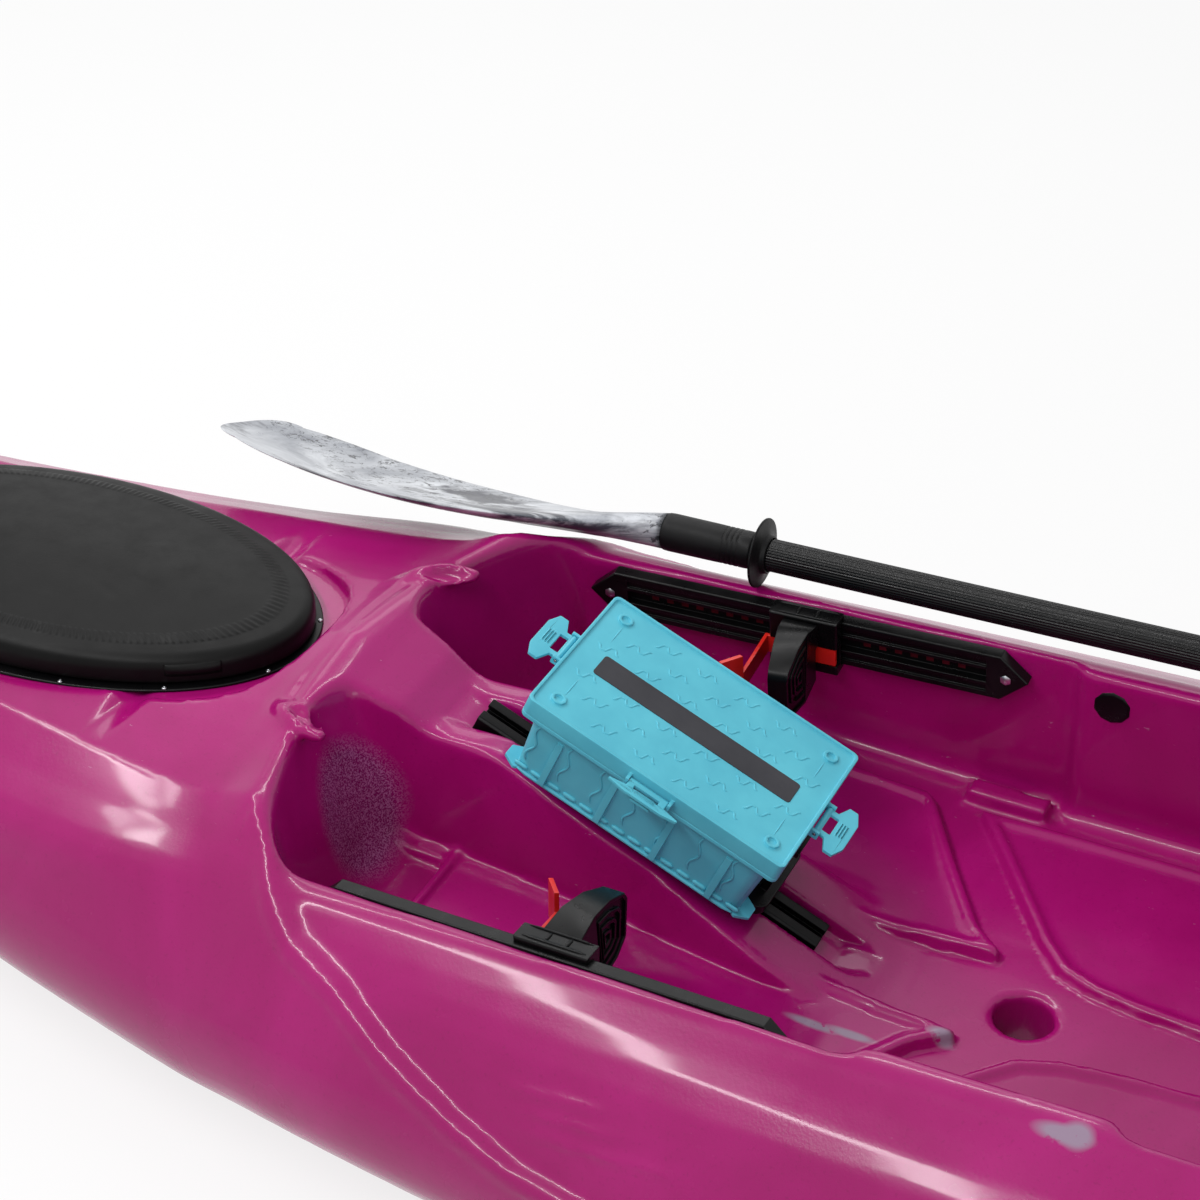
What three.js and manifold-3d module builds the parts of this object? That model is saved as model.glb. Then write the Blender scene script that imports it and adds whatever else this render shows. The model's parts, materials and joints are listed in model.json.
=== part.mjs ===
// A sit-on-top fishing kayak: roto-moulded hull, domed bow hatch, sliding foot braces, a gear
// track with a lidded tackle box, a framed seat and a two-piece paddle laid along one gunwale.
// Millimetres. +X is the bow, +Y is port, +Z is up; the origin is under the middle of the hull.

import * as THREE from 'three';
import { mergeVertices } from 'three/addons/utils/BufferGeometryUtils.js';
import Module from 'manifold-3d';

const wasm = await Module();
wasm.setup();

// Hull
const HULL_LENGTH = 3700;
const BEAM = 840;
const SHEER_HEIGHT = 250;
const BOW_TIP_HEIGHT = 376;
const STERN_TIP_HEIGHT = 330;
const STEM_HALF_WIDTH = 15;
const HULL_WALL = 5;
const TUNNEL_DEPTH = 12;
const FOLD_STEP = 13;
const FIT_GAP = 0.3;
const OVERRUN = 400;

// Cockpit
const GUNWALE_HEIGHT = 264;
const GUNWALE_RISE = 58;
const GUNWALE_CROWN = 2.5;
const SIDE_DECK_WIDTH = 128;
const GUNWALE_WIDTH = 34;
const COCKPIT_FRONT = 838;
const COCKPIT_REAR = -650;
const COAMING_HEIGHT = 290;
const FLOOR_HEIGHT = 90;
const HEEL_HEIGHT = 120;
const HEEL_FRONT = 760;
const FLOOR_FLAT_FRONT = 343;
const WALL_DRAFT = 14;
const TOE_DRAFT = 66;
const WALL_SWELL = 14;
const SWELL_FROM_RAIL = 43;
const SWELL_REAR = 72;
const HUMP_HALF_WIDTH = 54;
const HUMP_FOOT = 353;
const HUMP_DRAFT = 11;
const SCUPPER_RADIUS = 28;
const SCUPPER_X = 220;
const SEAT_SCUPPER_X = -120;
const SCUPPER_SPREAD = 130;
const PAD_RISE = 5;
const SPINE_HALF_WIDTH = 30;

// Stern tank well
const WELL_FRONT = -800;
const WELL_REAR = -1470;
const WELL_HALF_WIDTH = 215;
const WELL_FLOOR = 165;
const WELL_DRAFT = 18;
const WELL_SCUPPER_X = -1100;
const WELL_SCUPPER_SPREAD = 90;

// Bow hatch
const HATCH_X = 1164;
const HATCH_LENGTH = 550;
const HATCH_WIDTH = 320;
const HATCH_SEAT_HEIGHT = 250;
const HATCH_MOAT = 28;
const HATCH_LIP = 46;
const RIM_THICKNESS = 5;
const RIM_NECK_HEIGHT = 18;
const RIM_NECK_WALL = 5;
const COVER_OVERLAP = 18;
const COVER_SIDE = 20;
const COVER_CROWN = 18;
const COVER_WALL = 4;
const NOTCH_X = 998;
const NOTCH_WIDTH = 34;

// Foot braces
const RAIL_LENGTH = 428;
const RAIL_HEIGHT = 48;
const RAIL_DEPTH = 14;
const RAIL_TIP = 26;
const RAIL_SLOT = 14;
const RAIL_FRONT_X = 746;
const RAIL_FRONT_TOP = 241;
const RAIL_PITCH = 1.8;
const RAIL_TOE = 1.8;
const SCREW_RADIUS = 6;
const SCREW_HEAD = 3.5;
const SHANK_RADIUS = 2.4;
const SHANK_LENGTH = 14;
const CARRIAGE_LENGTH = 66;
const CARRIAGE_DEPTH = 12;
const CARRIAGE_HOOK = 5;
const PEDAL_REACH = 80;
const PEDAL_HEIGHT = 66;
const PEDAL_DEPTH = 34;
const PEDAL_RIB = 2.5;
const PEDAL_X = 527;
const LEVER_THICKNESS = 3.6;
const LEVER_HEIGHT = 19;
const LEVER_REACH = 58;
const LEVER_PIN_RADIUS = 1.5;

// Gear track and box mount
const TRACK_LENGTH = 350;
const TRACK_WIDTH = 32;
const TRACK_HEIGHT = 14;
const TRACK_SLOT = 9;
const TRACK_CHANNEL = 20;
const TRACK_CHANNEL_HEIGHT = 7;
const TRACK_FRONT_X = 722;
const TRACK_FRONT_TOP = 247;
const TRACK_SLOPE = 23.05;
const TRACK_TO_BOX = 167;
const BASE_LENGTH = 190;
const BASE_WIDTH = 92;
const BASE_HEIGHT = 27;
const BOLT_SPACING = 130;
const BOLT_RADIUS = 4;
const KNOB_RADIUS = 13;
const KNOB_HEIGHT = 5;
const BASE_CLAMP = 6;
const BASE_CLAMP_HEIGHT = 58;

// Tackle box
const BOX_LENGTH = 232;
const BOX_WIDTH = 150;
const BOX_HEIGHT = 74;
const BOX_TAPER = 5;
const BOX_WALL = 3;
const BOX_RIM = 6;
const BOX_CORNER = 12;
const LID_LENGTH = 250;
const LID_WIDTH = 168;
const LID_HEIGHT = 16;
const LID_LIP = 3;
const LID_STUD_RADIUS = 7;
const HINGE_RADIUS = 2;
const HINGE_BARREL = 4.5;
const LATCH_WIDTH = 60;
const LATCH_REACH = 27;
const FRONT_LATCH_WIDTH = 66;
const FRONT_LATCH_REACH = 15;
const LATCH_THICKNESS = 3;
const LATCH_PIN_RADIUS = 1.5;
const LATCH_STAND = 4;
const EAR_REACH = 12;

// Paddle
const PADDLE_LENGTH = 2300;
const SHAFT_RADIUS = 15;
const SHAFT_WALL = 2;
const SLEEVE_RADIUS = 18;
const SLEEVE_LENGTH = 96;
const BLADE_LENGTH = 472;
const BLADE_WIDTH = 168;
const BLADE_THICKNESS = 5;
const BLADE_SPOON = 20;
const BLADE_CAMBER = 9;
const BLADE_ROLL_ANGLE = 24;
const DRIP_RING_RADIUS = 33;
const DRIP_RING_WIDTH = 12;
const DRIP_RING_FROM_BLADE = 100;
const PADDLE_TIP_X = 1155;
const PADDLE_FROM_CREASE = 7;
const FERRULE_LENGTH = 140;
const BUTTON_TRAVEL = 3;
const BUTTON_RADIUS = 4;

// Seat
const SEAT_FRONT = -165;
const SEAT_DEPTH = 400;
const SEAT_SIDE_ROOM = 33;
const SEAT_HEIGHT = 205;
const SEAT_TUBE = 11;
const SEAT_BEND = 55;
const BACK_HEIGHT = 400;
const BACK_RECLINE = 14;
const BACK_PIVOT_RISE = 36;
const LEG_HEIGHT = 112;
const LEG_SPLAY = 38;
const LEG_INSET = 50;
const PIVOT_PLATE = 5;
const PIVOT_RADIUS = 4;
const SLING_THICKNESS = 5;
const SLING_SAG = 16;
const BACK_SAG = 22;
const SADDLE_LENGTH = 62;
const SADDLE_WIDTH = 44;
const SADDLE_FLANGE = 7;
const SADDLE_INSET = 46;

// Small parts
const CAP_FROM_SWELL = 35;
const CAP_Z = 229;
const CAP_RADIUS = 17;
const CAP_STEM_RADIUS = 11;
const CAP_STEM_LENGTH = 12;
const CAP_THICKNESS = 3;
const HANDLE_LENGTH = 150;
const HANDLE_WIDTH = 26;
const HANDLE_RISE = 34;
const HANDLE_THICKNESS = 9;
const BOW_HANDLE_X = 1610;
const STERN_HANDLE_X = -1640;
const PLUG_X = -1545;
const PLUG_RADIUS = 16;

// Facets
const ROUND_SIDES = 16;
const SMALL_SIDES = 6;
const TUBE_SIDES = 10;
const HATCH_SIDES = 28;
const COVER_SIDES = 32;

const HALF_LENGTH = HULL_LENGTH / 2;
const HALF_BEAM = BEAM / 2;
const creaseHalfWidth = HALF_BEAM - SIDE_DECK_WIDTH;
const cockpitHalfWidth = creaseHalfWidth - GUNWALE_WIDTH;
const swellFront = RAIL_FRONT_X - RAIL_LENGTH - SWELL_FROM_RAIL;
const DEGREE = Math.PI / 180;

function colour(hex, roughness, metalness = 0) {
  return new THREE.MeshStandardMaterial({ color: hex, roughness, metalness });
}

const hullPlastic = colour(0xb52a78, 0.25);
const blackPlastic = colour(0x17171a, 0.5);
const blackRubber = colour(0x1d1e20, 0.8);
const redPlastic = colour(0xd92a20, 0.4);
const tealPlastic = colour(0x58b4c8, 0.45);
const steel = colour(0xb9bcc0, 0.3, 1);
const blackMetal = colour(0x1b1b1d, 0.35, 0.7);
const paddleBladePlastic = colour(0xaeb4bb, 0.4);
const carbon = colour(0x202124, 0.35);
const seatTube = colour(0x2a2b2e, 0.4, 0.8);
const seatMesh = colour(0x33363a, 0.9);
const foam = colour(0xe8e6df, 0.95);

const kayak = new THREE.Group();

function addMesh(parent, name, shape, material) {
  const geometry = shape.getMesh ? fromManifold(shape) : shape;
  const mesh = new THREE.Mesh(geometry, material);
  mesh.name = name;
  parent.add(mesh);
  return mesh;
}

function wrapped(geometry) {
  return new wasm.Manifold(new wasm.Mesh({
    numProp: 3,
    vertProperties: geometry.attributes.position.array,
    triVerts: new Uint32Array(geometry.index.array),
  }));
}

function toManifold(geometry) {
  const bare = geometry.clone();
  bare.deleteAttribute('normal');
  bare.deleteAttribute('uv');
  return wrapped(mergeVertices(bare));
}

function fromManifold(solid) {
  const { vertProperties, triVerts } = solid.getMesh();
  const geometry = new THREE.BufferGeometry();
  geometry.setAttribute('position', new THREE.BufferAttribute(vertProperties, 3));
  geometry.setIndex(new THREE.BufferAttribute(triVerts, 1));
  return geometry;
}

function flipped(geometry) {
  const copy = geometry.clone();
  const index = copy.index.array;
  for (let i = 0; i < index.length; i += 3) {
    [index[i], index[i + 1]] = [index[i + 1], index[i]];
  }
  return copy;
}

// A copy of a solid moved to a place, after turns about X, Y and Z in that order
function moved(solid, x, y, z, turnX = 0, turnY = 0, turnZ = 0) {
  const matrix = new THREE.Matrix4().makeRotationFromEuler(new THREE.Euler(turnX, turnY, turnZ, 'ZYX'));
  matrix.setPosition(x, y, z);
  return wrapped(fromManifold(solid).applyMatrix4(matrix));
}

function mirrored(solid) {
  return wrapped(flipped(fromManifold(solid).scale(1, -1, 1)));
}

// A closed skin over rings of equal point count, with a flat fan at each end
function loft(rings) {
  const count = rings[0].length;
  const positions = rings.flat().flatMap((p) => [p.x, p.y, p.z]);
  const faces = [];
  for (let ring = 0; ring < rings.length - 1; ring += 1) {
    for (let i = 0; i < count; i += 1) {
      const a = ring * count + i;
      const b = ring * count + (i + 1) % count;
      faces.push(a, b, b + count, a, b + count, a + count);
    }
  }
  [0, rings.length - 1].forEach((ring) => {
    const middle = new THREE.Vector3();
    rings[ring].forEach((p) => middle.addScaledVector(p, 1 / count));
    const hub = positions.length / 3;
    positions.push(middle.x, middle.y, middle.z);
    for (let i = 0; i < count; i += 1) {
      const a = ring * count + i;
      const b = ring * count + (i + 1) % count;
      faces.push(...(ring === 0 ? [hub, b, a] : [hub, a, b]));
    }
  });
  const geometry = new THREE.BufferGeometry();
  geometry.setAttribute('position', new THREE.Float32BufferAttribute(positions, 3));
  geometry.setIndex(faces);
  return geometry;
}

function outwardLoft(rings) {
  const solid = toManifold(loft(rings));
  return solid.volume() > 0 ? solid : toManifold(loft(rings.slice().reverse()));
}

// Smooth value at x in a table of rows [place, value]
function follow(table, x) {
  const last = table.length - 1;
  if (x <= table[0][0]) return table[0][1];
  if (x >= table[last][0]) return table[last][1];
  let i = 0;
  while (table[i + 1][0] < x) i += 1;
  const slope = (j) => {
    const before = table[Math.max(j - 1, 0)];
    const after = table[Math.min(j + 1, last)];
    return (after[1] - before[1]) / (after[0] - before[0]);
  };
  const span = table[i + 1][0] - table[i][0];
  const t = (x - table[i][0]) / span;
  const start = table[i][1];
  const end = table[i + 1][1];
  return start * (2 * t ** 3 - 3 * t ** 2 + 1) + end * (3 * t ** 2 - 2 * t ** 3)
    + span * (slope(i) * (t ** 3 - 2 * t ** 2 + t) + slope(i + 1) * (t ** 3 - t ** 2));
}

// Closed outline moved outward by a distance, with mitred corners
function offsetOutline(points, distance) {
  const turn = THREE.ShapeUtils.area(points) > 0 ? 1 : -1;
  return points.map((p, i) => {
    const before = points[(i + points.length - 1) % points.length];
    const after = points[(i + 1) % points.length];
    const a = new THREE.Vector2().subVectors(p, before).normalize();
    const b = new THREE.Vector2().subVectors(after, p).normalize();
    const normal = new THREE.Vector2(a.y + b.y, -a.x - b.x).normalize();
    const reach = turn * distance / Math.max(0.5, normal.dot(new THREE.Vector2(a.y, -a.x)));
    return p.clone().addScaledVector(normal, reach);
  });
}

// Outline in the XZ plane drawn out along Y, evenly about the centre plane
function sidePlate(points, halfWidth) {
  const shape = new THREE.Shape(points);
  const geometry = new THREE.ExtrudeGeometry(shape, { depth: 2 * halfWidth, bevelEnabled: false });
  geometry.rotateX(Math.PI / 2);
  geometry.translate(0, halfWidth, 0);
  return toManifold(geometry);
}

// Outline in the XY plane drawn up along Z
function plate(points, height, bevel = 0) {
  const shape = points instanceof THREE.Shape ? points : new THREE.Shape(points);
  const geometry = new THREE.ExtrudeGeometry(shape, {
    depth: height - 2 * bevel,
    bevelEnabled: bevel > 0,
    bevelThickness: bevel,
    bevelSize: bevel,
    bevelOffset: -bevel,
    bevelSegments: 1,
    curveSegments: 2,
  });
  geometry.translate(0, 0, bevel);
  return toManifold(geometry);
}

function roundedRectangle(length, width, radius) {
  const shape = new THREE.Shape();
  const x = length / 2;
  const y = width / 2;
  shape.moveTo(-x + radius, -y);
  shape.lineTo(x - radius, -y);
  shape.absarc(x - radius, -y + radius, radius, -Math.PI / 2, 0);
  shape.lineTo(x, y - radius);
  shape.absarc(x - radius, y - radius, radius, 0, Math.PI / 2);
  shape.lineTo(-x + radius, y);
  shape.absarc(-x + radius, y - radius, radius, Math.PI / 2, Math.PI);
  shape.lineTo(-x, -y + radius);
  shape.absarc(-x + radius, -y + radius, radius, Math.PI, 1.5 * Math.PI);
  return shape;
}

function box(x, y, z) {
  return toManifold(new THREE.BoxGeometry(x, y, z));
}

// Round bar from a centre, standing along Z
function post(radius, height, sides = ROUND_SIDES, topRadius = radius) {
  const geometry = new THREE.CylinderGeometry(topRadius, radius, height, sides);
  geometry.rotateX(Math.PI / 2);
  return toManifold(geometry);
}

// Solid of revolution about Z from a profile of [radius, height] pairs
function turned(profile, sides = ROUND_SIDES) {
  const geometry = new THREE.LatheGeometry(profile.map(([r, z]) => new THREE.Vector2(r, z)), sides);
  geometry.rotateX(Math.PI / 2);
  const solid = toManifold(geometry);
  return solid.volume() > 0 ? solid : toManifold(flipped(geometry));
}

const point = (x, y, z) => new THREE.Vector3(x, y, z);

// Straight runs joined by round bends, as the points where the direction changes
function rounded(corners, bend) {
  const arcSteps = 3;
  const points = [corners[0]];
  for (let i = 1; i < corners.length - 1; i += 1) {
    const corner = corners[i];
    const before = corner.clone().lerp(corners[i - 1], bend / corner.distanceTo(corners[i - 1]));
    const after = corner.clone().lerp(corners[i + 1], bend / corner.distanceTo(corners[i + 1]));
    points.push(...new THREE.QuadraticBezierCurve3(before, corner, after).getPoints(arcSteps));
  }
  points.push(corners[corners.length - 1]);
  return points;
}

// Round bar swept along a list of points without twisting
function tube(points, radius, sides = TUBE_SIDES) {
  const tangents = points.map((p, i) => {
    const before = points[Math.max(i - 1, 0)];
    const after = points[Math.min(i + 1, points.length - 1)];
    return new THREE.Vector3().subVectors(after, before).normalize();
  });
  const side = Math.abs(tangents[0].y) < 0.9 ? point(0, 1, 0) : point(1, 0, 0);
  return outwardLoft(points.map((p, i) => {
    side.addScaledVector(tangents[i], -side.dot(tangents[i])).normalize();
    const up = new THREE.Vector3().crossVectors(tangents[i], side);
    return Array.from({ length: sides }, (_, k) => {
      const angle = 2 * Math.PI * (k + 0.5) / sides;
      return p.clone().addScaledVector(side, radius * Math.cos(angle))
        .addScaledVector(up, radius * Math.sin(angle));
    });
  }));
}

// Pan-head screw with its head above z = 0 and its shank below, and the hole that it goes in
function screw(shank, size = 1) {
  return turned([
    [0, SCREW_HEAD * size], [SCREW_RADIUS * size, 0],
    [SHANK_RADIUS * size, 0], [SHANK_RADIUS * size, -shank], [0, -shank],
  ], SMALL_SIDES);
}

function screwHole(depth, size = 1) {
  return moved(post(SHANK_RADIUS * size + FIT_GAP, depth * 2, SMALL_SIDES), 0, 0, 0);
}

function joined(solids) {
  return solids.reduce((whole, solid) => whole.add(solid));
}

// Hull form. Places along the hull are shares of the half length, heights of the sheer height.
const shoulderShare = [
  [-1, 1.27], [-0.88, 1.1], [-0.74, 0.98], [-0.58, 0.95], [-0.47, 1.06], [-0.36, 1.18], [0, 1.16],
  [0.3, 1.06], [0.4, 0.978], [0.45, 0.908], [0.5, 0.876], [0.57, 0.832], [0.65, 0.848],
  [0.76, 0.96], [0.87, 1.15], [0.95, 1.33], [1, 1.45],
];
const ridgeShare = [
  [-1, 1.29], [-0.88, 1.16], [-0.74, 1.1], [-0.56, 1.13], [-0.43, 1.19], [0, 1.2], [0.32, 1.17],
  [0.4, 1.13], [0.44, 1.1], [0.465, 1.03], [0.5, 1], [0.58, 0.996], [0.65, 1], [0.76, 1.08],
  [0.87, 1.24], [0.95, 1.38], [1, 1.475],
];
const crownShare = [
  [-1, 1.32], [-0.88, 1.2], [-0.74, 1.16], [-0.56, 1.18], [-0.43, 1.22], [0, 1.22], [0.38, 1.2],
  [0.43, 1.165], [0.46, 1.15], [0.48, 1.1], [0.51, 1.06], [0.54, 1.045], [0.63, 1.04],
  [0.76, 1.11], [0.82, 1.17], [0.9, 1.3], [0.96, 1.42], [1, 1.504],
];
const shoulderBeamShare = [
  [-1, 0.9], [-0.8, 0.84], [-0.5, 0.8], [0.42, 0.8], [0.5, 0.85], [0.57, 0.875], [0.65, 0.885],
  [0.8, 0.86], [1, 0.9],
];
const RIDGE_BEAM_SHARE = 0.62;
const BOW_FULLNESS = 2.28;
const BOW_VEE_SHARE = 0.42;
const STERN_FULLNESS = 2.7;

const halfBeamAt = (x) => {
  const t = Math.abs(x) / HALF_LENGTH;
  const fullness = x > 0 ? BOW_FULLNESS : STERN_FULLNESS;
  return Math.max(HALF_BEAM * (1 - t ** fullness), STEM_HALF_WIDTH);
};

const keelAt = (x) => {
  const t = Math.abs(x) / HALF_LENGTH;
  const start = 0.7;
  const tip = x > 0 ? BOW_TIP_HEIGHT * 0.84 : STERN_TIP_HEIGHT * 0.8;
  return tip * (Math.max(0, t - start) / (1 - start)) ** 2.5;
};

const heightAt = (table, x) => SHEER_HEIGHT * follow(table, x / HALF_LENGTH);
const gunwaleAt = (x) => GUNWALE_HEIGHT - GUNWALE_RISE * x / HALF_LENGTH;

// Half of a hull section from keel to deck centre, moved inward by the inset
function hullSection(x, inset) {
  const beam = halfBeamAt(x);
  const keel = keelAt(x);
  const shoulder = heightAt(shoulderShare, x);
  const ridge = heightAt(ridgeShare, x);
  const crown = heightAt(crownShare, x);
  const side = Math.min(shoulder, SHEER_HEIGHT * 0.95) - keel;
  const tunnel = TUNNEL_DEPTH * Math.max(0, 1 - (x / HALF_LENGTH) ** 4);
  const shoulderY = beam * follow(shoulderBeamShare, x / HALF_LENGTH);
  const ridgeY = beam * RIDGE_BEAM_SHARE;
  const vee = BOW_VEE_SHARE * Math.max(0, Math.abs(x) / HALF_LENGTH - 0.45) / 0.55;
  const low = (out, up, lift = 0) => [
    beam * out, keel + side * (up + vee * (1 - up) * out) + lift * (1 - vee),
  ];
  const half = [
    low(0, 0), low(0.045, 0), low(0.11, 0, tunnel), low(0.27, 0, tunnel), low(0.37, 0, tunnel * 0.2),
    low(0.5, 0), low(0.76, 0.05), low(0.93, 0.19), low(0.985, 0.32), low(1, 0.47), low(0.985, 0.62),
    [(beam * 0.97 + shoulderY) / 2, (keel + side * 0.72 + shoulder) / 2], [shoulderY, shoulder],
    [(shoulderY + ridgeY) / 2, (shoulder + ridge) / 2 + side * 0.015], [ridgeY, ridge],
    [ridgeY * 0.5, ridge * 0.3 + crown * 0.7], [0, crown],
  ];
  return insetHalf(half, inset);
}

// Inside the wall a coarser section will do, so every other point is left out there
function insetHalf(half, inset) {
  const drawn = half.map(([y, z], i) => {
    const before = half[Math.max(i - 1, 0)];
    const after = half[Math.min(i + 1, half.length - 1)];
    const dy = after[0] - before[0];
    const dz = after[1] - before[1];
    const size = Math.hypot(dy, dz) || 1;
    const side = i === 0 || i === half.length - 1 ? 0 : 1;
    return [Math.max(0, y - side * inset * dz / size), z + inset * dy / size];
  });
  return inset > 0 ? drawn.filter((_, i) => i % 2 === 0) : drawn;
}

function ringAt(x, half) {
  const port = half.map(([y, z]) => point(x, y, z));
  const starboard = half.slice(1, -1).reverse().map(([y, z]) => point(x, -y, z));
  return port.concat(starboard);
}

// Places of the sections: closer towards the ends and where the deck drops ahead of the cockpit
const stationShare = [
  -1, -0.98, -0.95, -0.9, -0.8, -0.7, -0.58, -0.5, -0.43, -0.36, -0.2, 0, 0.2, 0.32, 0.38, 0.41, 0.43,
  0.45, 0.465, 0.48, 0.5, 0.54, 0.58, 0.65, 0.75, 0.83, 0.9, 0.95, 0.98, 1,
];
const INNER_REACH_SHARE = 0.9;

// Side of the cockpit, let in above a fold that runs from the gunwale down and along the side
const foldShare = [
  [0.474, 1.6], [0.458, 1.16], [0.441, 1.1], [0.422, 1.04], [0.406, 0.962], [0.392, 0.9],
  [0.366, 0.848], [0.336, 0.748], [0.3, 0.656], [0.268, 0.59], [0.216, 0.55], [0, 0.54],
  [-0.26, 0.56], [-0.37, 0.64], [-0.43, 0.78], [-0.46, 1.04], [-0.468, 1.6],
];

function foldRegion(grow) {
  const points = foldShare.map(([x, z]) => new THREE.Vector2(x * HALF_LENGTH, z * SHEER_HEIGHT));
  return sidePlate(offsetOutline(points, grow), HALF_BEAM + OVERRUN);
}

function waistSection(x, inset) {
  const side = halfBeamAt(x) - FOLD_STEP;
  const top = gunwaleAt(x);
  const crease = Math.min(creaseHalfWidth, side * 0.86);
  const half = [
    [0, -FLOOR_HEIGHT], [side, -FLOOR_HEIGHT], [side, SHEER_HEIGHT * 0.48],
    [side * 0.985, SHEER_HEIGHT * 0.6], [(crease + side) / 2, top - SHEER_HEIGHT * 0.15],
    [crease, top - SHEER_HEIGHT * 0.016], [crease - SHEER_HEIGHT * 0.06, top + GUNWALE_CROWN],
    [cockpitHalfWidth * 0.5, top], [0, top],
  ];
  return insetHalf(half, inset);
}

function hullBody(inset) {
  const stations = stationShare.filter((share) => inset === 0 || Math.abs(share) <= INNER_REACH_SHARE);
  const full = outwardLoft(stations.map((share) => share * HALF_LENGTH)
    .map((x) => ringAt(x, hullSection(x, inset))));
  const waistRows = inset > 0 ? 6 : 12;
  const waist = outwardLoft(Array.from({ length: waistRows + 1 }, (_, i) => {
    const share = foldShare[foldShare.length - 1][0] * 1.06;
    const x = HALF_LENGTH * (share + (foldShare[0][0] * 1.06 - share) * i / waistRows);
    return ringAt(x, waistSection(x, inset));
  }));
  return full.subtract(foldRegion(inset).subtract(waist));
}

const WALL_FRONT_SHARE = 0.896;

// Forward end of the cockpit: [place, half width, part in the slope of the toe wall] as shares
const toeShare = [
  [0.984, 0, 1], [0.984, 0.21, 1], [1, 0.335, 1], [1, 0.43, 1], [0.992, 0.55, 1], [0.982, 0.68, 1],
  [0.968, 0.82, 0.95], [0.953, 0.92, 0.85], [0.935, 0.975, 0.6], [0.916, 0.997, 0.3], [WALL_FRONT_SHARE, 1, 0],
];

const swellHalfWidth = (wide) => wide + (COCKPIT_FRONT * WALL_FRONT_SHARE - swellFront) * Math.tan(RAIL_TOE * DEGREE);

function cockpitOutline(draft, toe) {
  const wide = cockpitHalfWidth + draft;
  const half = toeShare.map(([x, y, slope]) => [x * COCKPIT_FRONT - toe * slope, y * wide]);
  const swell = swellHalfWidth(wide);
  half.push(
    [swellFront + WALL_SWELL / 2, swell], [swellFront - WALL_SWELL / 2, swell - WALL_SWELL],
    [SWELL_REAR + WALL_SWELL / 2, swell - WALL_SWELL], [SWELL_REAR - WALL_SWELL / 2, swell],
    [COCKPIT_REAR * 0.86, wide * 1.08], [COCKPIT_REAR * 0.96, wide], [COCKPIT_REAR, wide * 0.8],
    [COCKPIT_REAR, 0],
  );
  const port = half.map(([x, y]) => new THREE.Vector2(x, y));
  const starboard = half.slice(1, -1).reverse().map(([x, y]) => new THREE.Vector2(x, -y));
  return port.concat(starboard);
}

// Walls drawn between an outline at floor level and one at coaming level, run past both
function draftedWell(low, high, lowZ, highZ, grow) {
  const from = lowZ - SHEER_HEIGHT * 0.2;
  const to = highZ + SHEER_HEIGHT * 0.12;
  const rings = [from, to].map((z) => {
    const share = (z - lowZ) / (highZ - lowZ);
    const points = low.map((p, i) => p.clone().lerp(high[i], share));
    return offsetOutline(points, grow).map((p) => point(p.x, p.y, z));
  });
  return outwardOutlineLoft(rings);
}

function outwardOutlineLoft(rings) {
  const count = rings[0].length;
  const flat = rings[0].map((p) => new THREE.Vector2(p.x, p.y));
  const cap = THREE.ShapeUtils.triangulateShape(flat, []);
  const positions = rings.flat().flatMap((p) => [p.x, p.y, p.z]);
  const faces = [];
  for (let i = 0; i < count; i += 1) {
    const next = (i + 1) % count;
    faces.push(i, next, next + count, i, next + count, i + count);
  }
  cap.forEach(([a, b, c]) => faces.push(c, b, a, a + count, b + count, c + count));
  const geometry = new THREE.BufferGeometry();
  geometry.setAttribute('position', new THREE.Float32BufferAttribute(positions, 3));
  geometry.setIndex(faces);
  if (THREE.ShapeUtils.area(flat) < 0) return toManifold(flipped(geometry));
  return toManifold(geometry);
}

function aboveFloor(grow) {
  const points = [
    [HEEL_FRONT + OVERRUN, HEEL_HEIGHT + (HEEL_HEIGHT - FLOOR_HEIGHT) * 0.9], [HEEL_FRONT, HEEL_HEIGHT],
    [FLOOR_FLAT_FRONT, FLOOR_HEIGHT], [COCKPIT_REAR - OVERRUN, FLOOR_HEIGHT],
    [COCKPIT_REAR - OVERRUN, COAMING_HEIGHT + OVERRUN], [HEEL_FRONT + OVERRUN, COAMING_HEIGHT + OVERRUN],
  ].map(([x, z]) => new THREE.Vector2(x, z));
  return sidePlate(offsetOutline(points, grow), HALF_BEAM + OVERRUN);
}

// Hump between the footwells: [place, half width] as shares of its run and half width
const humpShare = [
  [1.18, 1.15], [1.02, 1.07], [0.93, 0.85], [0.8, 0.9], [0.6, 0.98], [0.5, 1], [0.27, 0.86],
  [0.05, 0.64], [-0.04, 0.2],
];

const trackLine = (x) => TRACK_FRONT_TOP + (x - TRACK_FRONT_X) * Math.tan(TRACK_SLOPE * DEGREE);

function hump(grow) {
  const run = COCKPIT_FRONT * 0.95 - HUMP_FOOT;
  const outline = (extra) => {
    const half = humpShare.map(([x, y]) => new THREE.Vector2(
      HUMP_FOOT + x * run, y * HUMP_HALF_WIDTH + extra,
    ));
    return half.concat(half.slice().reverse().map((p) => new THREE.Vector2(p.x, -p.y)));
  };
  const walls = draftedWell(outline(HUMP_DRAFT), outline(0), FLOOR_HEIGHT, COAMING_HEIGHT, grow);
  const drop = FLOOR_HEIGHT * 0.4;
  const side = [
    [HUMP_FOOT - drop, FLOOR_HEIGHT - drop], [HUMP_FOOT, FLOOR_HEIGHT],
    [HUMP_FOOT + run, COAMING_HEIGHT], [HUMP_FOOT + run, COAMING_HEIGHT + OVERRUN],
    [HUMP_FOOT + run * 1.3, COAMING_HEIGHT + OVERRUN], [HUMP_FOOT + run * 1.3, FLOOR_HEIGHT - drop],
  ].map(([x, z]) => new THREE.Vector2(x, z));
  return walls.intersect(sidePlate(offsetOutline(side, grow), HALF_BEAM));
}

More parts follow.
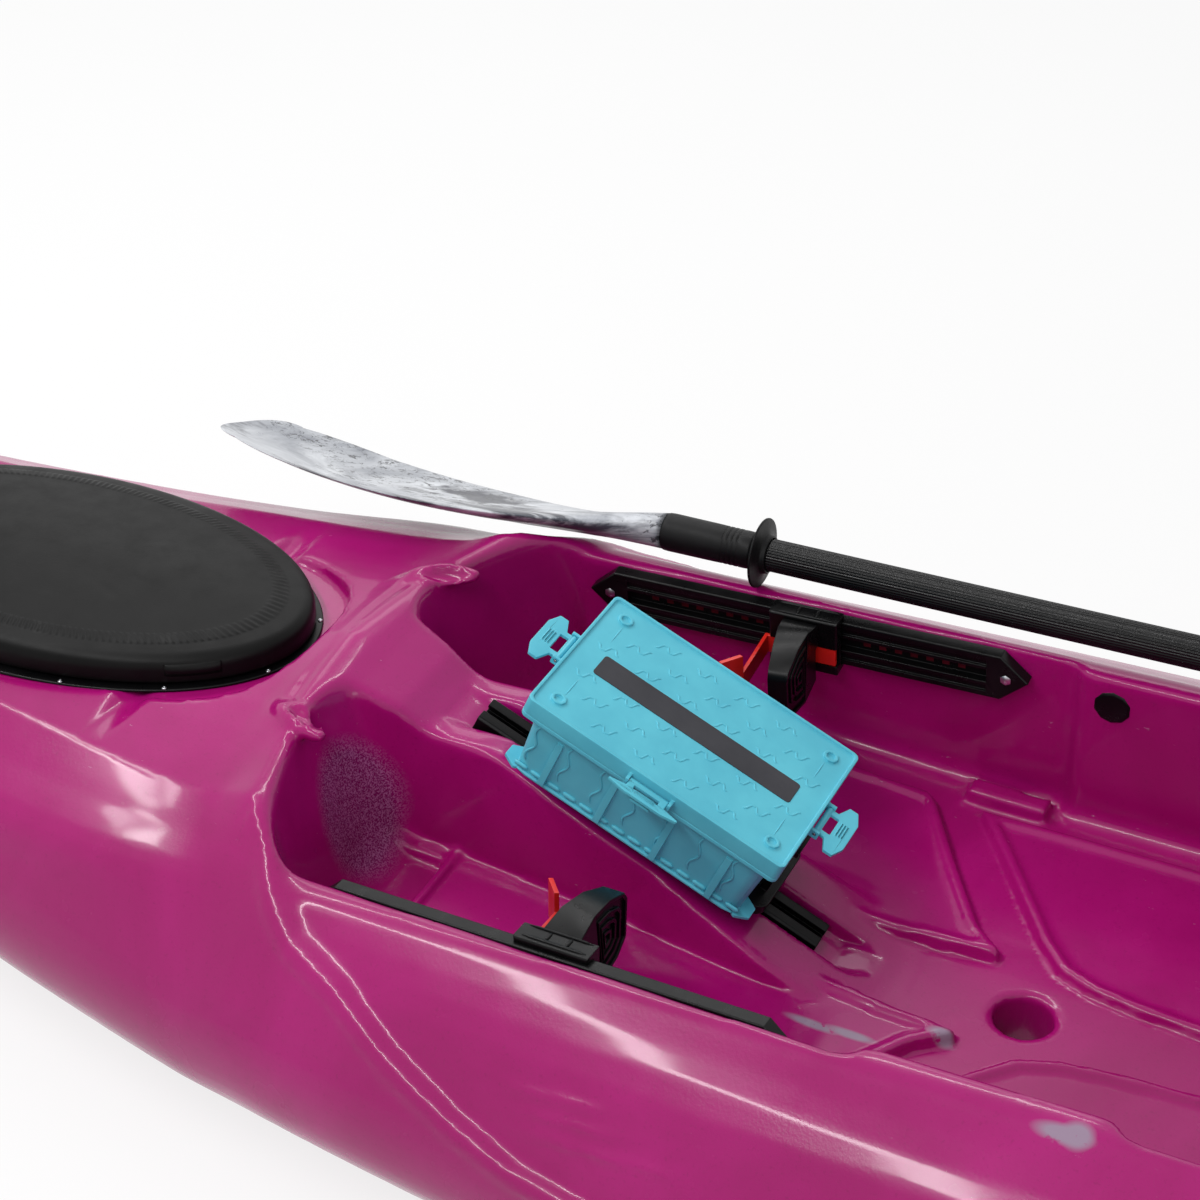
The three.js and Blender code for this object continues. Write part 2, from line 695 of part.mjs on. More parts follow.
// Straight-sided trough down the middle of the hump that the gear track lies in
function trackTrough(grow) {
  const front = TRACK_FRONT_X + TRACK_WIDTH * 0.9;
  const rear = HUMP_FOOT - TRACK_WIDTH;
  const low = (TRACK_HEIGHT + FIT_GAP) / Math.cos(TRACK_SLOPE * DEGREE);
  const points = [
    [front, trackLine(front) - low], [rear, trackLine(rear) - low],
    [rear, COAMING_HEIGHT + OVERRUN], [front, COAMING_HEIGHT + OVERRUN],
  ].map(([x, z]) => new THREE.Vector2(x, z));
  return sidePlate(offsetOutline(points, grow), TRACK_WIDTH * 0.66 + grow);
}

function ellipseOutline(centre, halfLength, halfWidth, sides) {
  return Array.from({ length: sides }, (_, i) => new THREE.Vector2(
    centre + halfLength * Math.cos(2 * Math.PI * i / sides),
    halfWidth * Math.sin(2 * Math.PI * i / sides),
  ));
}

// Flat seat of the hatch, widened at its after end into a moat that drains through two notches
function hatchRecess(grow) {
  const sides = grow > 0 ? HATCH_SIDES / 2 : HATCH_SIDES;
  const seat = plate(ellipseOutline(
    HATCH_X, HATCH_LENGTH / 2 + SCREW_RADIUS + grow, HATCH_WIDTH / 2 + SCREW_RADIUS + grow, sides,
  ), OVERRUN);
  const moat = plate(ellipseOutline(
    HATCH_X, HATCH_LENGTH / 2 + HATCH_MOAT + grow, HATCH_WIDTH / 2 + HATCH_MOAT + grow, sides,
  ), OVERRUN).intersect(moved(box(HATCH_LENGTH, BEAM, 2 * OVERRUN),
    NOTCH_X + NOTCH_WIDTH / 2 + grow - HATCH_LENGTH / 2, 0, 0));
  const notch = moved(box(NOTCH_WIDTH + 2 * grow, HATCH_WIDTH * 1.34 + 2 * grow, 2 * OVERRUN),
    NOTCH_X, 0, OVERRUN);
  return moved(seat.add(moat).add(notch), 0, 0, HATCH_SEAT_HEIGHT - grow);
}

function hatchHole() {
  const outline = ellipseOutline(
    HATCH_X, HATCH_LENGTH / 2 - HATCH_LIP, HATCH_WIDTH / 2 - HATCH_LIP, HATCH_SIDES,
  );
  return moved(plate(outline, OVERRUN), 0, 0, HATCH_SEAT_HEIGHT - SHEER_HEIGHT * 0.2);
}

const wellShare = [[0, 0], [0, 0.8], [0.06, 0.98], [0.14, 1], [0.55, 0.8], [0.92, 0.52], [1, 0.4], [1, 0]];

function tankWell(grow) {
  const outline = (extra) => {
    const run = WELL_REAR - WELL_FRONT - 2 * extra;
    const half = wellShare.map(([x, y]) => new THREE.Vector2(
      WELL_FRONT + extra + x * run, y * (WELL_HALF_WIDTH + extra),
    ));
    return half.concat(half.slice(1, -1).reverse().map((p) => new THREE.Vector2(p.x, -p.y)));
  };
  const walls = draftedWell(outline(-WELL_DRAFT), outline(0), WELL_FLOOR, COAMING_HEIGHT, grow);
  const above = moved(box(HULL_LENGTH, BEAM, OVERRUN), WELL_FRONT, 0, WELL_FLOOR - grow + OVERRUN / 2);
  return walls.intersect(above);
}

const scuppers = [
  [SCUPPER_X, 0], [SEAT_SCUPPER_X, SCUPPER_SPREAD], [SEAT_SCUPPER_X, -SCUPPER_SPREAD],
  [WELL_SCUPPER_X, WELL_SCUPPER_SPREAD], [WELL_SCUPPER_X, -WELL_SCUPPER_SPREAD],
];

function scupperPosts(grow) {
  const narrow = SCUPPER_RADIUS * 0.9 + grow;
  const sides = grow > 0 ? ROUND_SIDES / 2 : ROUND_SIDES;
  const tube = post(SCUPPER_RADIUS * 1.05 + grow, 2 * COAMING_HEIGHT, sides, narrow);
  return scuppers.map(([x, y]) => moved(tube, x, y, 0));
}

// Height of the cockpit's side wall and its slope, where the foot braces and caps are fixed
const WALL_TILT = Math.atan2(WALL_DRAFT, COAMING_HEIGHT - FLOOR_HEIGHT);
const wideAt = (z) => cockpitHalfWidth + Math.tan(WALL_TILT) * (COAMING_HEIGHT - z);
const wallAt = (x, z) => wideAt(z) + (COCKPIT_FRONT * WALL_FRONT_SHARE - x) * Math.tan(RAIL_TOE * DEGREE);
const swollenWallAt = (z) => swellHalfWidth(wideAt(z)) - WALL_SWELL;

// Raised foot pads each side of the spine, drawn back from the wall and the scupper
function footPads() {
  const outer = cockpitHalfWidth - WALL_DRAFT;
  const outline = [
    [FLOOR_FLAT_FRONT, outer], [SCUPPER_X + SPINE_HALF_WIDTH / 2, SPINE_HALF_WIDTH * 1.6],
    [SCUPPER_X - SPINE_HALF_WIDTH * 1.5, SPINE_HALF_WIDTH], [COCKPIT_REAR * 0.92, SPINE_HALF_WIDTH],
    [COCKPIT_REAR * 0.92, outer],
  ].map(([x, y]) => new THREE.Vector2(x, y));
  const port = moved(plate(outline, 2 * PAD_RISE, PAD_RISE / 2), 0, 0, FLOOR_HEIGHT - PAD_RISE);
  return port.add(mirrored(port));
}

// Place on the inside wall of the cockpit, with Z turned to point out of the wall's face
function onWall(solid, side) {
  const y = side * (swollenWallAt(CAP_Z) - FIT_GAP);
  return moved(solid, swellFront - CAP_FROM_SWELL, y, CAP_Z, side * (Math.PI / 2 + WALL_TILT));
}

const handleLandDepth = HANDLE_THICKNESS / 3;
const handlePlaces = [['bow', BOW_HANDLE_X], ['stern', STERN_HANDLE_X]].map(([name, x]) => {
  const rise = (end) => heightAt(crownShare, x + end * HANDLE_LENGTH / 2);
  return { name, x, z: (rise(1) + rise(-1)) / 2, pitch: -Math.atan2(rise(1) - rise(-1), HANDLE_LENGTH) };
});

// Flat lands on the deck under the feet of a carry handle
function handleLands({ x, z, pitch }) {
  const length = HANDLE_LENGTH * 1.1;
  const width = HANDLE_WIDTH * 1.3;
  const land = moved(box(length, width, HANDLE_RISE), 0, 0, HANDLE_RISE / 2 - handleLandDepth);
  return moved(land, x, 0, z, 0, pitch);
}

const plugSeatHeight = heightAt(crownShare, PLUG_X) - PLUG_RADIUS / 4;
const plugBore = PLUG_RADIUS * 0.6;

function makeHull(holes) {
  const well = (grow) => draftedWell(
    cockpitOutline(WALL_DRAFT, TOE_DRAFT), cockpitOutline(0, 0), FLOOR_HEIGHT, COAMING_HEIGHT, grow,
  ).intersect(aboveFloor(grow)).subtract(hump(-grow)).add(trackTrough(grow));
  let outside = hullBody(0);
  [well(0), hatchRecess(0), tankWell(0)].forEach((cut) => { outside = outside.subtract(cut); });
  outside = outside.add(footPads());
  handlePlaces.forEach((place) => { outside = outside.subtract(handleLands(place)); });
  scupperPosts(0).forEach((hole) => { outside = outside.subtract(hole); });
  const plugLand = moved(post(PLUG_RADIUS * 1.25, OVERRUN), PLUG_X, 0, plugSeatHeight + OVERRUN / 2);
  outside = outside.subtract(plugLand);
  let inside = hullBody(HULL_WALL);
  const hollowed = [well(HULL_WALL), hatchRecess(HULL_WALL), tankWell(HULL_WALL)];
  hollowed.concat(scupperPosts(HULL_WALL)).forEach((cut) => { inside = inside.subtract(cut); });
  let shell = outside.subtract(inside).subtract(hatchHole());
  const plugHole = post(plugBore, OVERRUN / 2, TUBE_SIDES + 2);
  shell = shell.subtract(moved(plugHole, PLUG_X, 0, plugSeatHeight));
  holes.forEach((hole) => { shell = shell.subtract(hole); });
  return shell;
}

// Foam pillars that keep the deck off the bottom, cut to the inside of the shell
function foamPillar(front, rear, halfWidth) {
  const clear = HULL_WALL + FIT_GAP;
  const slab = moved(box(front - rear, 2 * halfWidth, 2 * OVERRUN), (front + rear) / 2, 0, 0);
  return slab.intersect(hullBody(clear)).subtract(tankWell(clear)).subtract(hatchRecess(clear));
}

const pillarHalfWidth = SPINE_HALF_WIDTH;
addMesh(kayak, 'bow_foam_pillar', foamPillar(
  HATCH_X - HATCH_LENGTH * 0.44, COCKPIT_FRONT + 3 * HULL_WALL, pillarHalfWidth,
), foam);
addMesh(kayak, 'stern_foam_pillar', foamPillar(
  WELL_SCUPPER_X - SCUPPER_RADIUS * 2, WELL_REAR * 0.95, pillarHalfWidth,
), foam);

// Bow hatch, drawn about its own centre with the seat at z = 0
const hatch = new THREE.Group();
hatch.position.set(HATCH_X, 0, HATCH_SEAT_HEIGHT + FIT_GAP);
kayak.add(hatch);
const rimLength = HATCH_LENGTH / 2;
const rimWidth = HATCH_WIDTH / 2;

function ovalPlate(inset, height, z = 0) {
  return moved(plate(ellipseOutline(0, rimLength - inset, rimWidth - inset, COVER_SIDES), height), 0, 0, z);
}

function hatchRim() {
  const neckInset = COVER_OVERLAP + COVER_WALL + FIT_GAP;
  const flange = ovalPlate(0, RIM_THICKNESS);
  const neck = ovalPlate(neckInset, RIM_NECK_HEIGHT, RIM_THICKNESS / 2);
  const opening = ovalPlate(neckInset + RIM_NECK_WALL + HATCH_LIP / 3, OVERRUN, -OVERRUN / 2);
  const throat = ovalPlate(neckInset + RIM_NECK_WALL, OVERRUN, RIM_THICKNESS);
  return flange.add(neck).subtract(opening).subtract(throat);
}

// Domed cover: a straight band, a rolled shoulder and a low crown, hollow below
function hatchCover() {
  const rows = [
    [0, 0], [0, COVER_SIDE * 0.75], [2, COVER_SIDE * 0.95], [6, COVER_SIDE + COVER_CROWN * 0.12],
    [22, COVER_SIDE + COVER_CROWN * 0.4], [60, COVER_SIDE + COVER_CROWN * 0.72],
    [105, COVER_SIDE + COVER_CROWN * 0.93], [140, COVER_SIDE + COVER_CROWN],
  ];
  const rings = rows.map(([inset, z]) => ellipseOutline(
    0, rimLength - COVER_OVERLAP - inset, rimWidth - COVER_OVERLAP - inset, COVER_SIDES,
  ).map((p) => point(p.x, p.y, z)));
  const hollow = ovalPlate(COVER_OVERLAP + COVER_WALL, RIM_NECK_HEIGHT + FIT_GAP, -FIT_GAP);
  return moved(outwardLoft(rings).subtract(hollow), 0, 0, RIM_THICKNESS + FIT_GAP);
}

addMesh(hatch, 'bow_hatch_rim', hatchRim(), blackPlastic);
addMesh(hatch, 'bow_hatch_cover', hatchCover(), blackRubber);

// Foot brace on a wall, drawn with X along the rail towards the bow, Y out into the wall and
// Z up along it; the origin is at the middle of the rail's top edge, on the wall's face.
const railMiddle = -RAIL_HEIGHT / 2;

function braceFrame(side) {
  const pitch = Math.tan(RAIL_PITCH * DEGREE);
  const onFace = (x, down) => {
    const z = RAIL_FRONT_TOP + (RAIL_FRONT_X - x) * pitch - down;
    return point(x, side * (wallAt(x, z) - FIT_GAP), z);
  };
  const middle = RAIL_FRONT_X - RAIL_LENGTH / 2;
  const along = onFace(RAIL_FRONT_X, 0).sub(onFace(RAIL_FRONT_X - RAIL_LENGTH, 0)).normalize();
  const up = onFace(middle, 0).sub(onFace(middle, RAIL_HEIGHT));
  up.addScaledVector(along, -up.dot(along)).normalize();
  const outward = new THREE.Vector3().crossVectors(up, along);
  const frame = new THREE.Group();
  frame.position.copy(onFace(middle, 0));
  frame.quaternion.setFromRotationMatrix(new THREE.Matrix4().makeBasis(along, outward, up));
  frame.updateMatrix();
  return frame;
}

// An outline in the rail's XZ plane, given a thickness that starts inboard of the wall
function inboardPlate(points, from, thickness, bevel = 0) {
  const flat = plate(points.map(([x, z]) => new THREE.Vector2(x, z)), thickness, bevel);
  return moved(flat, 0, -from, 0, Math.PI / 2);
}

function rail() {
  const end = RAIL_LENGTH / 2 - RAIL_TIP;
  const outline = [
    [-end - RAIL_TIP, railMiddle], [-end, 0], [end, 0], [end + RAIL_TIP, railMiddle],
    [end, -RAIL_HEIGHT], [-end, -RAIL_HEIGHT],
  ];
  const groove = (z, height, depth) => moved(
    box(2 * end - RAIL_TIP, 2 * depth, height), 0, -RAIL_DEPTH, z,
  );
  const lip = RAIL_SLOT / 2;
  return inboardPlate(outline, 0, RAIL_DEPTH, 1.2)
    .subtract(groove(railMiddle, RAIL_SLOT, RAIL_DEPTH * 0.6))
    .subtract(groove(railMiddle + RAIL_SLOT, lip, RAIL_DEPTH * 0.2))
    .subtract(groove(railMiddle - RAIL_SLOT, lip, RAIL_DEPTH * 0.2));
}

// A screw or a hole at one end of the rail: 1 for the front end and -1 for the rear
function atRailEnd(solid, end) {
  const x = end * (RAIL_LENGTH / 2 - RAIL_TIP * 0.8);
  return moved(solid, x, -RAIL_DEPTH - FIT_GAP, railMiddle, Math.PI / 2);
}

// Gap in the carriage's lower half that the release lever lies and swings in
const leverMiddle = -RAIL_HEIGHT * 0.7;
const leverFace = -RAIL_DEPTH - CARRIAGE_DEPTH;

function carriage() {
  const inner = RAIL_DEPTH + FIT_GAP;
  const hook = CARRIAGE_HOOK + FIT_GAP;
  const section = [
    [-CARRIAGE_LENGTH / 2, hook], [CARRIAGE_LENGTH / 2, hook],
    [CARRIAGE_LENGTH / 2, -RAIL_HEIGHT - hook], [-CARRIAGE_LENGTH / 2, -RAIL_HEIGHT - hook],
  ];
  const block = inboardPlate(section, RAIL_DEPTH / 3, RAIL_DEPTH * 2 / 3 + CARRIAGE_DEPTH, 1.5);
  const railSpace = moved(
    box(CARRIAGE_LENGTH * 2, 2 * inner, RAIL_HEIGHT + 2 * FIT_GAP), 0, 0, railMiddle,
  );
  const tongueDepth = RAIL_DEPTH * 0.6 - 2 * FIT_GAP;
  const tongue = moved(
    box(CARRIAGE_LENGTH * 0.8, tongueDepth, RAIL_SLOT - 2 * FIT_GAP), 0, -inner + tongueDepth / 2, railMiddle,
  );
  const pocketDepth = CARRIAGE_DEPTH * 0.76;
  const pocket = moved(
    box(CARRIAGE_LENGTH * 2, 2 * pocketDepth, LEVER_HEIGHT + 2 * FIT_GAP), 0, leverFace, leverMiddle,
  );
  const pin = moved(post(LEVER_PIN_RADIUS, LEVER_HEIGHT * 1.2, SMALL_SIDES), 0, leverFace + LEVER_PIN_RADIUS * 2, leverMiddle);
  return block.subtract(railSpace).subtract(pocket).add(tongue).add(pin);
}

// A solid drawn in the XY plane and up Z, turned to be drawn in the YZ plane and along X
const alongX = (solid) => moved(solid, 0, 0, 0, Math.PI / 2, 0, Math.PI / 2);

// Release lever: a bar in the carriage on an upright pin, with a thumb tab across its front end
function lever() {
  const thick = LEVER_THICKNESS;
  const back = leverFace + LEVER_PIN_RADIUS * 2 + thick / 2;
  const front = CARRIAGE_LENGTH * 0.58;
  const rear = -CARRIAGE_LENGTH * 0.47;
  const bend = leverFace - LEVER_REACH;
  const outline = [
    [rear, back], [rear, back - thick], [front - thick, back - thick], [front - thick, bend],
    [front + thick * 3, bend - thick * 4.5], [front + thick * 4, bend - thick * 4],
    [front, bend + thick / 2], [front, back],
  ].map(([x, y]) => new THREE.Vector2(x, y));
  const knuckle = post(LEVER_PIN_RADIUS * 2, LEVER_HEIGHT, SMALL_SIDES + 2);
  const bore = post(LEVER_PIN_RADIUS + FIT_GAP, OVERRUN, SMALL_SIDES);
  const middle = leverFace + LEVER_PIN_RADIUS * 2;
  const lowest = leverMiddle - LEVER_HEIGHT / 2;
  const bar = moved(plate(outline, LEVER_HEIGHT), 0, 0, lowest);
  const tab = moved(
    plate(outline.slice(3, 7), LEVER_HEIGHT * 2), 0, 0, lowest,
  );
  return joined([bar, tab, moved(knuckle, 0, middle, leverMiddle)]).subtract(moved(bore, 0, middle, leverMiddle));
}

// Outline of the foot pedal seen from aft: [reach inboard, height above the rail's top edge]
const pedalShare = [
  [0, 0.02], [0.3, 0.16], [0.62, 0.15], [0.93, 0.02], [1, -0.1], [0.98, -0.66], [0.8, -0.84],
  [0.42, -0.96], [0.08, -0.86], [0.08, -0.34], [0, -0.32],
];

// Wedge-shaped foot pedal, deepest where it joins the carriage, with nested ribs to step on
function pedal() {
  const outline = pedalShare.map(([y, z]) => new THREE.Vector2(-y * PEDAL_REACH, z * PEDAL_HEIGHT));
  const depthAt = (p) => PEDAL_DEPTH * (1 + 0.46 * p.x / PEDAL_REACH);
  const wedge = outwardOutlineLoft([
    outline.map((p) => point(p.x, p.y, 0)), outline.map((p) => point(p.x, p.y, depthAt(p))),
  ]);
  const sole = pedalShare.filter(([y]) => y > 0.2)
    .map(([y, z]) => new THREE.Vector2(-y * PEDAL_REACH, z * PEDAL_HEIGHT));
  const middle = new THREE.Vector2(-PEDAL_REACH * 0.56, -PEDAL_HEIGHT * 0.38);
  const shrunk = (share, height, z) => moved(
    plate(sole.map((p) => middle.clone().lerp(p, share)), height), 0, 0, z,
  );
  const ribs = [0.7, 0.46, 0.22].map((share) => shrunk(share, PEDAL_RIB * 2, 0)
    .subtract(shrunk(share - 0.09, OVERRUN, -OVERRUN / 2)));
  const shoe = joined([wedge.subtract(shrunk(0.9, PEDAL_RIB * 2, -PEDAL_RIB)), ...ribs]);
  const aft = -PEDAL_DEPTH * 0.45;
  return moved(alongX(shoe), aft, leverFace - FIT_GAP, 0);
}

// Solids that the hull's holes are cut with, in the kayak's own frame
const hullHoles = [];

function cutHull(frame, solid) {
  frame.updateMatrix();
  hullHoles.push(wrapped(fromManifold(solid).applyMatrix4(frame.matrix)));
}

[['port', 1], ['starboard', -1]].forEach(([name, side]) => {
  const frame = braceFrame(side);
  kayak.add(frame);
  const along = PEDAL_X - (RAIL_FRONT_X - RAIL_LENGTH / 2);
  const own = (solid, x = 0) => moved(side > 0 ? solid : mirrored(solid), x, 0, 0);
  const hole = screwHole(SHANK_LENGTH * 2);
  const holes = own(atRailEnd(hole, 1).add(atRailEnd(hole, -1)));
  cutHull(frame, holes);
  addMesh(frame, `${name}_foot_rail`, own(rail()).subtract(holes), blackPlastic);
  const railScrew = screw(RAIL_DEPTH + HULL_WALL * 2);
  addMesh(frame, `${name}_rail_front_screw`, own(atRailEnd(railScrew, 1)), steel);
  addMesh(frame, `${name}_rail_rear_screw`, own(atRailEnd(railScrew, -1)), steel);
  addMesh(frame, `${name}_pedal_carriage`, own(carriage(), along), blackPlastic);
  addMesh(frame, `${name}_foot_pedal`, own(pedal(), along), blackPlastic);
  addMesh(frame, `${name}_pedal_lever`, own(lever(), along), redPlastic);
});

// Gear track in the hump's trough, drawn with X up its slope and its top face at z = 0
const trackFrame = new THREE.Group();
trackFrame.position.set(TRACK_FRONT_X, 0, TRACK_FRONT_TOP);
trackFrame.rotation.y = -TRACK_SLOPE * DEGREE;
kayak.add(trackFrame);
const trackSpots = [0.04, 0.5, 0.96].map((share) => -TRACK_LENGTH * share);
const channelFloor = -TRACK_HEIGHT * 0.78;
const channelRoof = channelFloor + TRACK_CHANNEL_HEIGHT;

// Countersunk hole with its wide end at z = 0
const sunkHole = () => turned([
  [0, 0], [SCREW_RADIUS * 0.8, 0], [SHANK_RADIUS, -SCREW_HEAD * 0.6], [SHANK_RADIUS, -OVERRUN], [0, -OVERRUN],
], SMALL_SIDES);

function gearTrack() {
  const half = TRACK_WIDTH / 2;
  const slot = TRACK_SLOT / 2;
  const channel = TRACK_CHANNEL / 2;
  const bead = TRACK_HEIGHT * 0.16;
  const port = [
    [slot, 0], [half - bead, 0], [half, -bead], [half, -TRACK_HEIGHT + bead * 2], [half + bead, -TRACK_HEIGHT],
  ];
  const inner = [[channel, channelFloor], [channel, channelRoof], [slot, channelRoof]];
  const ring = port.concat(port.slice().reverse().map(([y, z]) => [-y, z]))
    .concat(inner.slice().reverse().map(([y, z]) => [-y, z])).concat(inner);
  const bar = plate(ring.map(([y, z]) => new THREE.Vector2(y, z)), TRACK_LENGTH);
  const holes = trackSpots.map((x) => moved(sunkHole(), x, 0, channelFloor));
  return moved(alongX(bar), -TRACK_LENGTH, 0, 0).subtract(joined(holes));
}

addMesh(trackFrame, 'gear_track', gearTrack(), blackMetal);

// Mount base clamped on the track by two T-bolts, with the tackle box on top
const baseMiddle = -TRACK_TO_BOX - TRACK_LENGTH * 0.1;
const baseTop = FIT_GAP + BASE_HEIGHT;
const boltSpots = [baseMiddle + BOLT_SPACING / 2, baseMiddle - BOLT_SPACING / 2];
const boxMiddle = -TRACK_TO_BOX;

function mountBase() {
  const layer = (length, width, from, to) => moved(
    plate(roundedRectangle(length, width, KNOB_RADIUS), BASE_HEIGHT * (to - from)), 0, 0, BASE_HEIGHT * from,
  );
  const foot = layer(BASE_LENGTH, TRACK_WIDTH, 0, 0.3);
  const waist = layer(BASE_LENGTH * 0.9, TRACK_WIDTH * 1.15, 0.2, 0.9);
  const deck = layer(BASE_LENGTH, BASE_WIDTH, 0.62, 1);
  const body = moved(joined([foot, waist, deck]), baseMiddle, 0, FIT_GAP);
  const tail = boxMiddle - BOX_LENGTH / 2 - BASE_CLAMP - FIT_GAP;
  const reach = baseMiddle - tail;
  const arm = moved(box(reach, BASE_WIDTH * 0.5, BASE_CLAMP), baseMiddle - reach / 2, 0, baseTop - BASE_CLAMP / 2);
  const hook = moved(box(BASE_CLAMP, BASE_WIDTH * 0.5, BASE_CLAMP_HEIGHT), tail + BASE_CLAMP / 2, 0,
    baseTop - BASE_CLAMP + BASE_CLAMP_HEIGHT / 2);
  const thumb = moved(box(BASE_CLAMP * 2, BASE_WIDTH * 0.4, BASE_CLAMP), tail, 0,
    baseTop - BASE_CLAMP * 1.5 + BASE_CLAMP_HEIGHT);
  return boltSpots.reduce((solid, x) => solid
    .subtract(moved(post(BOLT_RADIUS + FIT_GAP, OVERRUN, SMALL_SIDES + 2), x, 0, 0))
    .subtract(moved(post(KNOB_RADIUS + FIT_GAP, (KNOB_HEIGHT + FIT_GAP) * 2, ROUND_SIDES / 2), x, 0, baseTop)),
  joined([body, arm, hook, thumb]));
}

// T-bolt with its square head in the track's channel and a round nut let into the base
function trackBolt() {
  const side = TRACK_CHANNEL * 0.8;
  const headHeight = TRACK_CHANNEL_HEIGHT * 0.7;
  const headMiddle = channelRoof - FIT_GAP - headHeight / 2;
  const top = baseTop - FIT_GAP;
  const head = moved(box(side, side, headHeight), 0, 0, headMiddle);
  const shank = moved(post(BOLT_RADIUS, top - headMiddle, SMALL_SIDES + 2), 0, 0, (top + headMiddle) / 2);
  const nut = moved(post(KNOB_RADIUS, KNOB_HEIGHT - FIT_GAP, ROUND_SIDES / 2), 0, 0, top - (KNOB_HEIGHT - FIT_GAP) / 2);
  return joined([head, shank, nut]);
}

addMesh(trackFrame, 'track_mount_base', mountBase(), blackPlastic);
boltSpots.forEach((x, i) => {
  addMesh(trackFrame, `track_mount_${['front', 'rear'][i]}_bolt`, moved(trackBolt(), x, 0, 0), blackMetal);
});

// Tackle box, drawn about its own middle with its bottom at z = 0
const boxFrame = new THREE.Group();
boxFrame.position.set(boxMiddle, 0, baseTop + FIT_GAP);
trackFrame.add(boxFrame);
const lidBottom = BOX_HEIGHT + FIT_GAP;
const rimUnderside = BOX_HEIGHT - BOX_RIM * 0.7;
const hingeY = -LID_WIDTH / 2 - HINGE_BARREL;
const hingeZ = lidBottom - FIT_GAP / 2;
const hingeBore = (radius) => moved(
  post(radius, BOX_LENGTH * 0.78, SMALL_SIDES + 2), 0, hingeY, hingeZ, 0, Math.PI / 2,
);

function slab(length, width, corner, height, z, bevel = 0) {
  return moved(plate(roundedRectangle(length, width, corner), height, bevel), 0, 0, z);
}

// Knuckles of the hinge along the starboard side: [middle, length] as shares of the box length
const trayKnuckleShare = [[-0.32, 0.1], [0, 0.1], [0.32, 0.1]];
const lidKnuckleShare = [[-0.16, 0.2], [0.16, 0.2]];

function knuckles(shares, rise) {
  return joined(shares.map(([middle, length]) => {
    const clear = length * BOX_LENGTH;
    const x = middle * BOX_LENGTH;
    const barrel = moved(post(HINGE_BARREL, clear, SMALL_SIDES + 2), x, hingeY, hingeZ, 0, Math.PI / 2);
    const web = moved(
      box(clear, HINGE_BARREL * 2, HINGE_BARREL), x, hingeY + HINGE_BARREL,
      hingeZ + rise * (HINGE_BARREL + FIT_GAP) / 2,
    );
    return barrel.add(web);
  }));
}

// A corner ear at the foot of the tray, drawn for the port bow corner
function trayEar() {
  const x = BOX_LENGTH / 2 - BOX_TAPER;
  const y = BOX_WIDTH / 2 - BOX_TAPER;
  const outline = [
    [x - BOX_WALL, y - EAR_REACH * 2.4], [x + EAR_REACH, y - EAR_REACH * 1.6], [x + EAR_REACH, y - EAR_REACH / 2],
    [x, y + BOX_WALL / 2], [x - BOX_WALL, y],
  ].map(([a, b]) => new THREE.Vector2(a, b));
  return moved(plate(outline, BOX_WALL), 0, 0, 0);
}

function boxTray() {
  const outline = (length, width, z) => roundedRectangle(length, width, BOX_CORNER).getPoints(2)
    .slice(0, -1).map((p) => point(p.x, p.y, z));
  const walls = (inset, from, to) => outwardLoft([
    outline(BOX_LENGTH - 2 * (BOX_TAPER + inset), BOX_WIDTH - 2 * (BOX_TAPER + inset), from),
    outline(BOX_LENGTH - 2 * inset, BOX_WIDTH - 2 * inset, to),
  ]);
  const rim = slab(LID_LENGTH, LID_WIDTH, BOX_CORNER / 2, BOX_HEIGHT - rimUnderside, rimUnderside);
  const ribs = [];
  for (let share = -0.36; share <= 0.37; share += 0.24) {
    [1, -1].forEach((side) => ribs.push(moved(
      box(BOX_RIM, BOX_WALL * 2, BOX_HEIGHT * 0.7), share * BOX_LENGTH,
      side * (BOX_WIDTH / 2 - BOX_TAPER / 2), BOX_HEIGHT * 0.42,
    )));
  }
  const ear = trayEar();
  const aft = moved(mirrored(ear), 0, 0, 0, 0, 0, Math.PI);
  const ears = [ear, mirrored(ear), aft, mirrored(aft)];
  return joined([walls(0, 0, BOX_HEIGHT), rim, ...ribs, ...ears, knuckles(trayKnuckleShare, -1)])
    .subtract(walls(BOX_WALL, BOX_WALL, BOX_HEIGHT + BOX_WALL))
    .subtract(hingeBore(HINGE_RADIUS + FIT_GAP));
}

// Places of the clasps: turn about Z, distance of the lid's edge, width and reach
const latchPlaces = {
  bow: [0, LID_LENGTH / 2, LATCH_WIDTH, LATCH_REACH],
  stern: [Math.PI, LID_LENGTH / 2, LATCH_WIDTH, LATCH_REACH],
  front: [Math.PI / 2, LID_WIDTH / 2, FRONT_LATCH_WIDTH, FRONT_LATCH_REACH],
};
const latchBarrel = LATCH_PIN_RADIUS * 2;
const latchZ = lidBottom + LID_HEIGHT * 0.42;
const atLatch = (solid, turn, edge) => moved(
  moved(solid, edge + LATCH_STAND, 0, latchZ), 0, 0, 0, 0, 0, turn,
);

